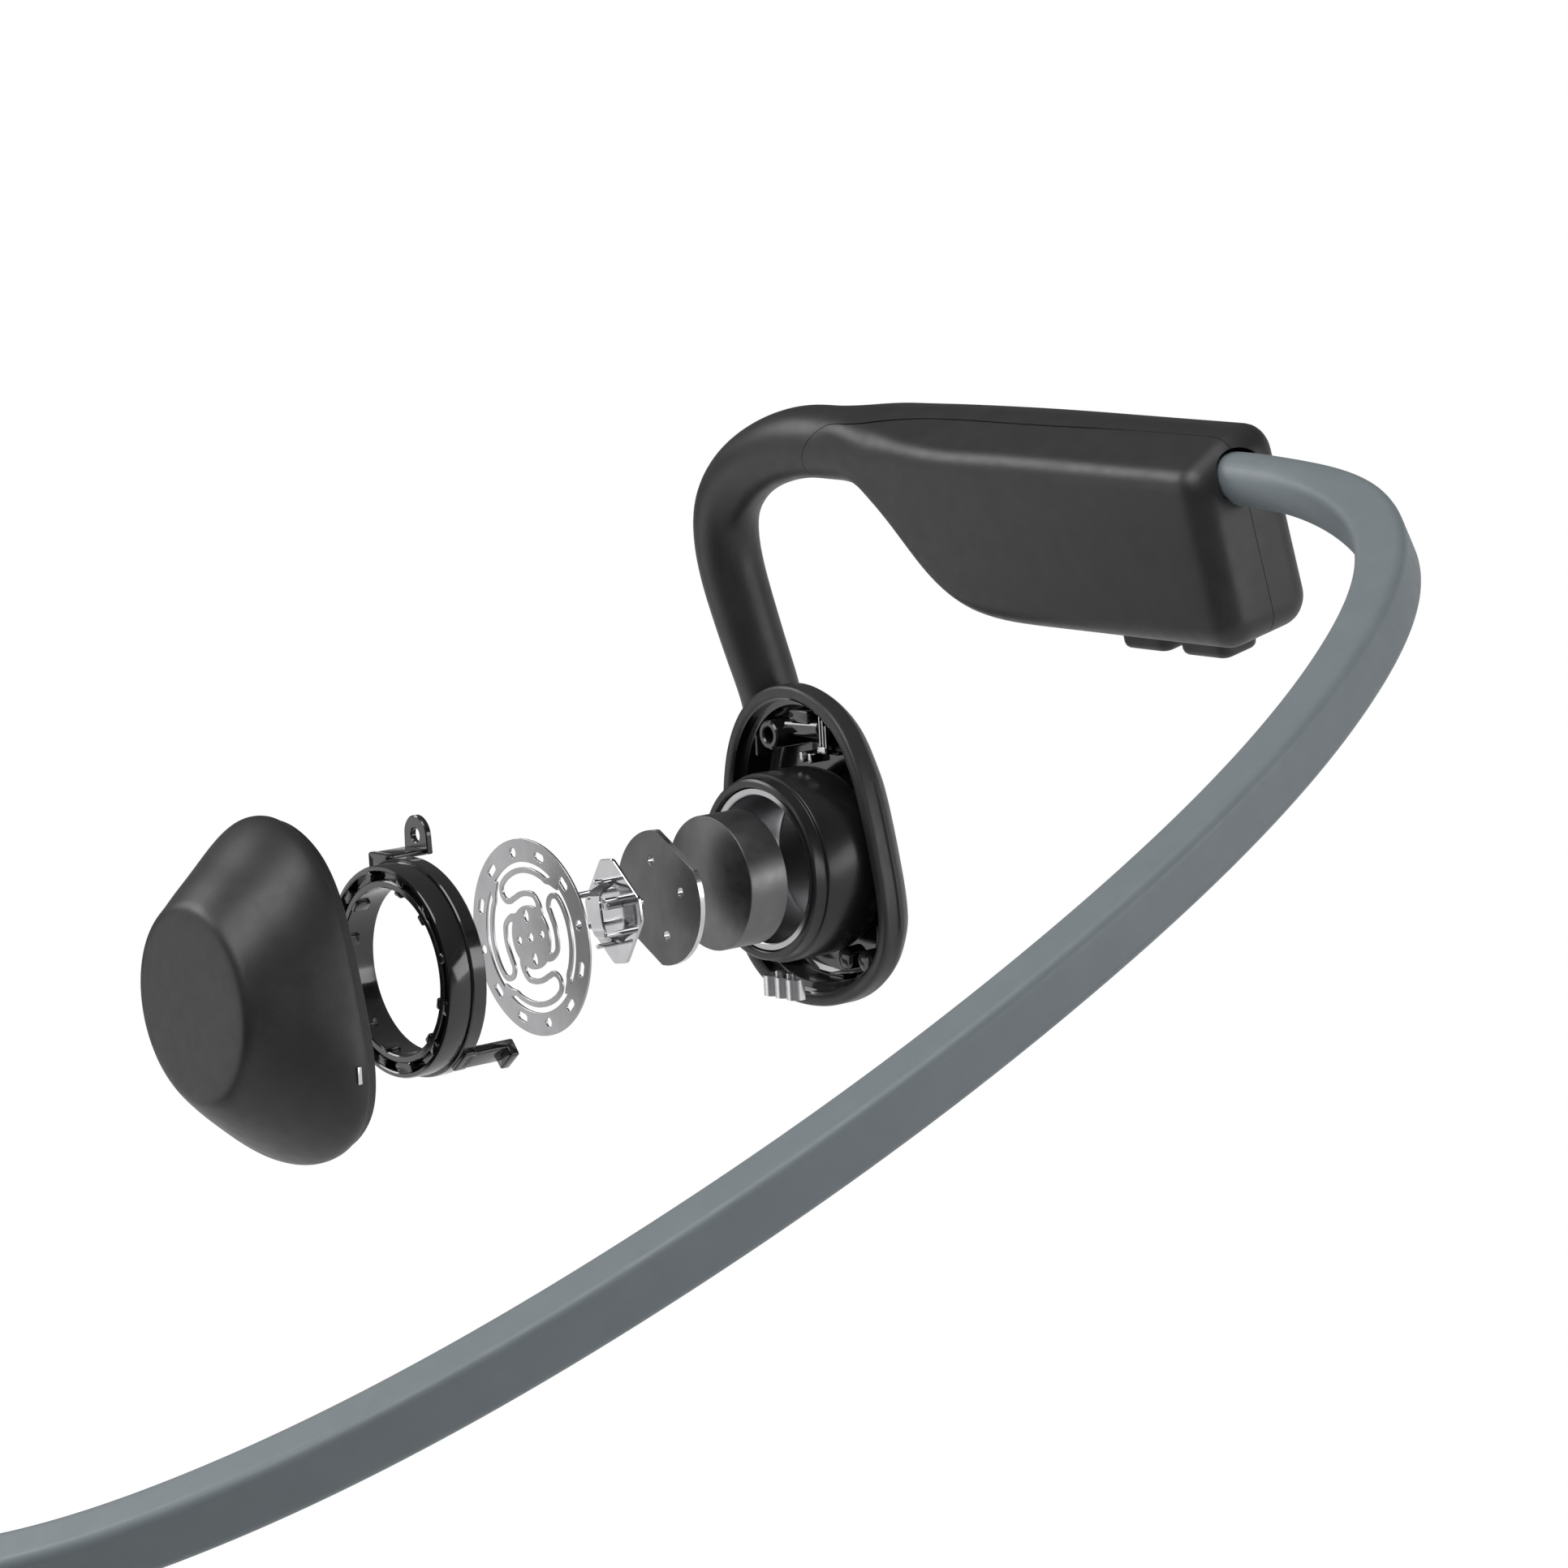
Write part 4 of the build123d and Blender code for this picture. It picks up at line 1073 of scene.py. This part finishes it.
def build_pad(right):
    """Cap with a lip at the pod and an oval contact face; see pad_ring for the columns."""
    side = "right" if right else "left"
    steps = np.array([
        (1.3, 1.0, 1.0, 0, 0, 0), (2.0, 1.0, 0.995, 0, -0.02, 0),
        (3.2, 0.985, 0.955, 0, -0.08, 0.1), (4.8, 0.95, 0.88, 0, -0.12, 0.3),
        (6.4, 0.905, 0.795, -0.05, -0.1, 0.5), (8.0, 0.855, 0.71, -0.1, 0.0, 0.75),
        (9.3, 0.805, 0.635, -0.13, 0.1, 0.95), (10.0, 0.775, 0.59, -0.15, 0.2, 1.0),
        (10.42, 0.735, 0.55, -0.15, 0.25, 1.0), (10.6, 0.67, 0.49, -0.15, 0.25, 1.0),
        (10.66, 0.54, 0.39, -0.15, 0.25, 1.0),
    ])
    line = spline(np.arange(len(steps)), steps)
    outer = [pad_ring(*row) for row in line(np.linspace(0, len(steps) - 1, 49))]
    lip = [
        (-1.9, 0.15), (-1.8, 0.05), (-0.6, 0.05), (-0.5, 0.15),
        (-0.5, 0.85), (-0.42, 0.93), (-0.2, 0.95), (-0.05, 1.06),
    ]
    inner = []
    fine = line(np.linspace(0, len(steps) - 1, 200))
    for d in (9.4, 8.4, 6.5, 4.0, 2.0):
        row = fine[np.argmin(abs(fine[:, 0] - (d + PAD_TOP_WALL)))]
        inner.append(flat(grow(pad_ring(*row)[:, :2], -PAD_SIDE_WALL), d))
    rings = inner + [flat(grow(POD_LOOP, inset), d) for inset, d in lip] + outer
    soup = Soup().rings(rings, True, True)
    place = (lambda p: in_pod(p, OUT["pad"])) if right else in_pod
    body = "pad" if right else "headset"
    nodes = [f"pad_cover_{side}"]
    make(f"pad_cover_skin_{side}", soup, place, SOFT, body, nodes, 50, not right)
    slot = Soup().block((9.5, -6.3, 1.9), (9.88, -4.8, 2.3), 0.03)
    make(f"pad_slot_{side}", slot, place, EDGE, body, [], 30, not right)


# ---- controls ----
KEY_HALF = (2.95, 2.1)


def cap(loop, steps):
    """A block hanging under the housing, its (f, w) outline inset step by step going down."""
    return Soup().rings([upright(grow(loop, -inset), h) for h, inset in steps], True, True)


def build_key(name, body, f):
    loop = round_polygon(box_corners(*KEY_HALF, f), [1.1] * 4, 9, 5)
    steps = ((-12.2, 0), (-14.75, 0), (-15.08, 0.1), (-15.28, 0.32), (-15.38, 0.62), (-15.4, 1.0))
    make(f"{name}_cap", cap(loop, steps), in_housing, SOFT, body, [name], 50)


def build_port():
    """The charge port's cover, with a thumb rib at its free end."""
    corners = [(18.05, -2.0), (28.1, -2.0), (28.1, 2.0), (18.05, 2.0)]
    loop = round_polygon(corners, [0.7] * 4, 7, 7)
    soup = cap(loop, ((-12.5, 0), (-13.4, 0), (-13.53, 0.06), (-13.58, 0.2), (-13.6, 0.6)))
    soup.block((26.6, -13.72, -0.8), (27.3, -13.5, 0.8), 0.08)
    make("port_cover_flap", soup, in_housing, SOFT, "port_flap", ["port_cover"], 50)


def build_multi():
    """The dished key on the left pod's back."""
    profile = [
        (0.0, -5.7), (4.6, -5.7), (4.6, -6.9), (4.5, -7.12), (4.2, -7.26),
        (3.6, -7.28), (2.6, -7.2), (1.2, -7.12), (0.0, -7.1),
    ]
    soup = Soup().lathe(profile, 128)
    body, nodes = "multifunction", ["multifunction_button"]
    make("multifunction_cap", soup, on_axis, SHELL, body, nodes, 50, True)


build_band()
for is_right in (True, False):
    build_housing(is_right)
    build_pod(is_right)
    build_pad(is_right)
build_cup()
build_magnet()
build_yoke()
build_spring()
build_bracket()
build_ring()
build_clip()
build_key("volume_down_button", "volume_down", 12.2)
build_key("volume_up_button", "volume_up", 4.9)
build_port()
build_multi()


# ---- stage, light and camera ----
FLOOR_Z = -0.13
FLOOR_HALF = 1.6


def build_floor():
    """White to the camera, pale grey to everything else."""
    n = 24
    a = np.linspace(-FLOOR_HALF, FLOOR_HALF, n)
    v = [(x, y, FLOOR_Z) for y in a for x in a]
    f = []
    for j in range(n - 1):
        for k in range(j * n, j * n + n - 1):
            f.append((k, k + 1, k + n + 1, k + n))
    mesh = bpy.data.meshes.new("floor")
    mesh.from_pydata(v, [], f)
    look = Look("pale_floor")
    colour = look.mix(look.spread(look.noise(0.002, 3), 0, 1), (0.86, 0.86, 0.86), (0.9, 0.9, 0.9))
    look.link(colour, look.bsdf.inputs["Base Color"])
    look.link(look.spread(look.noise(0.01, 3), 0.7, 0.85), look.bsdf.inputs["Roughness"])
    white = look.node("Emission")
    white.inputs[0].default_value = (1, 1, 1, 1)
    path = look.node("LightPath")
    blend = look.node("MixShader")
    look.link(path.outputs["Is Camera Ray"], blend.inputs[0])
    look.link(look.bsdf.outputs[0], blend.inputs[1])
    look.link(white.outputs[0], blend.inputs[2])
    look.link(blend.outputs[0], look.out.inputs[0])
    mesh.materials.append(look.mat)
    obj = bpy.data.objects.new("floor", mesh)
    bpy.context.scene.collection.objects.link(obj)


ROOM_LEVEL = 0.42


def build_world():
    """White to the camera, a soft grey room to everything else."""
    world = bpy.data.worlds.new("studio")
    bpy.context.scene.world = world
    world.use_nodes = True
    nodes = world.node_tree.nodes
    link = world.node_tree.links.new
    nodes.clear()
    out = nodes.new("ShaderNodeOutputWorld")
    room = nodes.new("ShaderNodeBackground")
    white = nodes.new("ShaderNodeBackground")
    white.inputs[0].default_value = (1, 1, 1, 1)
    coord = nodes.new("ShaderNodeTexCoord")
    split = nodes.new("ShaderNodeSeparateXYZ")
    ramp = nodes.new("ShaderNodeValToRGB")
    link(coord.outputs["Generated"], split.inputs[0])
    level = nodes.new("ShaderNodeMapRange")
    level.inputs[1].default_value = -1.0
    level.inputs[2].default_value = 1.0
    link(split.outputs[2], level.inputs[0])
    link(level.outputs[0], ramp.inputs[0])
    ramp.color_ramp.elements[0].color = (0.10, 0.10, 0.10, 1)
    ramp.color_ramp.elements[1].color = (0.75, 0.75, 0.76, 1)
    middle = ramp.color_ramp.elements.new(0.5)
    middle.color = (0.22, 0.22, 0.22, 1)
    link(ramp.outputs[0], room.inputs[0])
    room.inputs[1].default_value = ROOM_LEVEL
    path = nodes.new("ShaderNodeLightPath")
    blend = nodes.new("ShaderNodeMixShader")
    link(path.outputs["Is Camera Ray"], blend.inputs[0])
    link(room.outputs[0], blend.inputs[1])
    link(white.outputs[0], blend.inputs[2])
    link(blend.outputs[0], out.inputs[0])


def stand(obj, axes, at):
    """Place an object by its axes, as columns, and its position in millimetres."""
    rows = [(*row, p) for row, p in zip(axes, np.array(at) * MM)]
    obj.matrix_world = Matrix(rows + [(0, 0, 0, 1)])


def lamp(name, at, target, size, power):
    """A soft rectangular lamp aimed at a point."""
    data = bpy.data.lights.new(name, "AREA")
    data.shape = "RECTANGLE"
    data.size, data.size_y = size
    data.energy = power
    obj = bpy.data.objects.new(name, data)
    bpy.context.scene.collection.objects.link(obj)
    at, target = np.array(at, float), np.array(target, float)
    back = (at - target) / np.linalg.norm(at - target)
    side = np.cross([0, 0, 1.0], back)
    side /= np.linalg.norm(side)
    stand(obj, np.column_stack([side, np.cross(back, side), back]), at)
    obj.visible_camera = False


build_floor()
build_world()
AIM = (30, 70, -10)
lamp("top_soft", (40, -60, 560), AIM, (0.5, 0.4), 2.6)
lamp("ridge_soft", (-150, 520, 420), AIM, (0.32, 0.26), 1.4)
lamp("left_soft", (-500, 450, 90), AIM, (0.5, 0.5), 0.7)
lamp("low_soft", (300, -290, -90), AIM, (0.34, 0.18), 0.6)

CAMERA_AT = (-98.1, -275.5, 161.4)
CAMERA_FORWARD = (0.3177, 0.8520, -0.4162)
CAMERA_UP = (0.5442, 0.1956, 0.8158)
CAMERA_LENS = 111.80


def build_camera():
    data = bpy.data.cameras.new("camera")
    data.sensor_width = 36.0
    data.lens = CAMERA_LENS
    data.clip_start, data.clip_end = 0.01, 20
    obj = bpy.data.objects.new("camera", data)
    bpy.context.scene.collection.objects.link(obj)
    forward = np.array(CAMERA_FORWARD) / np.linalg.norm(CAMERA_FORWARD)
    right = np.cross(forward, CAMERA_UP)
    right /= np.linalg.norm(right)
    stand(obj, np.column_stack([right, np.cross(right, forward), -forward]), CAMERA_AT)
    bpy.context.scene.camera = obj


build_camera()
bpy.context.scene.view_settings.view_transform = "Standard"
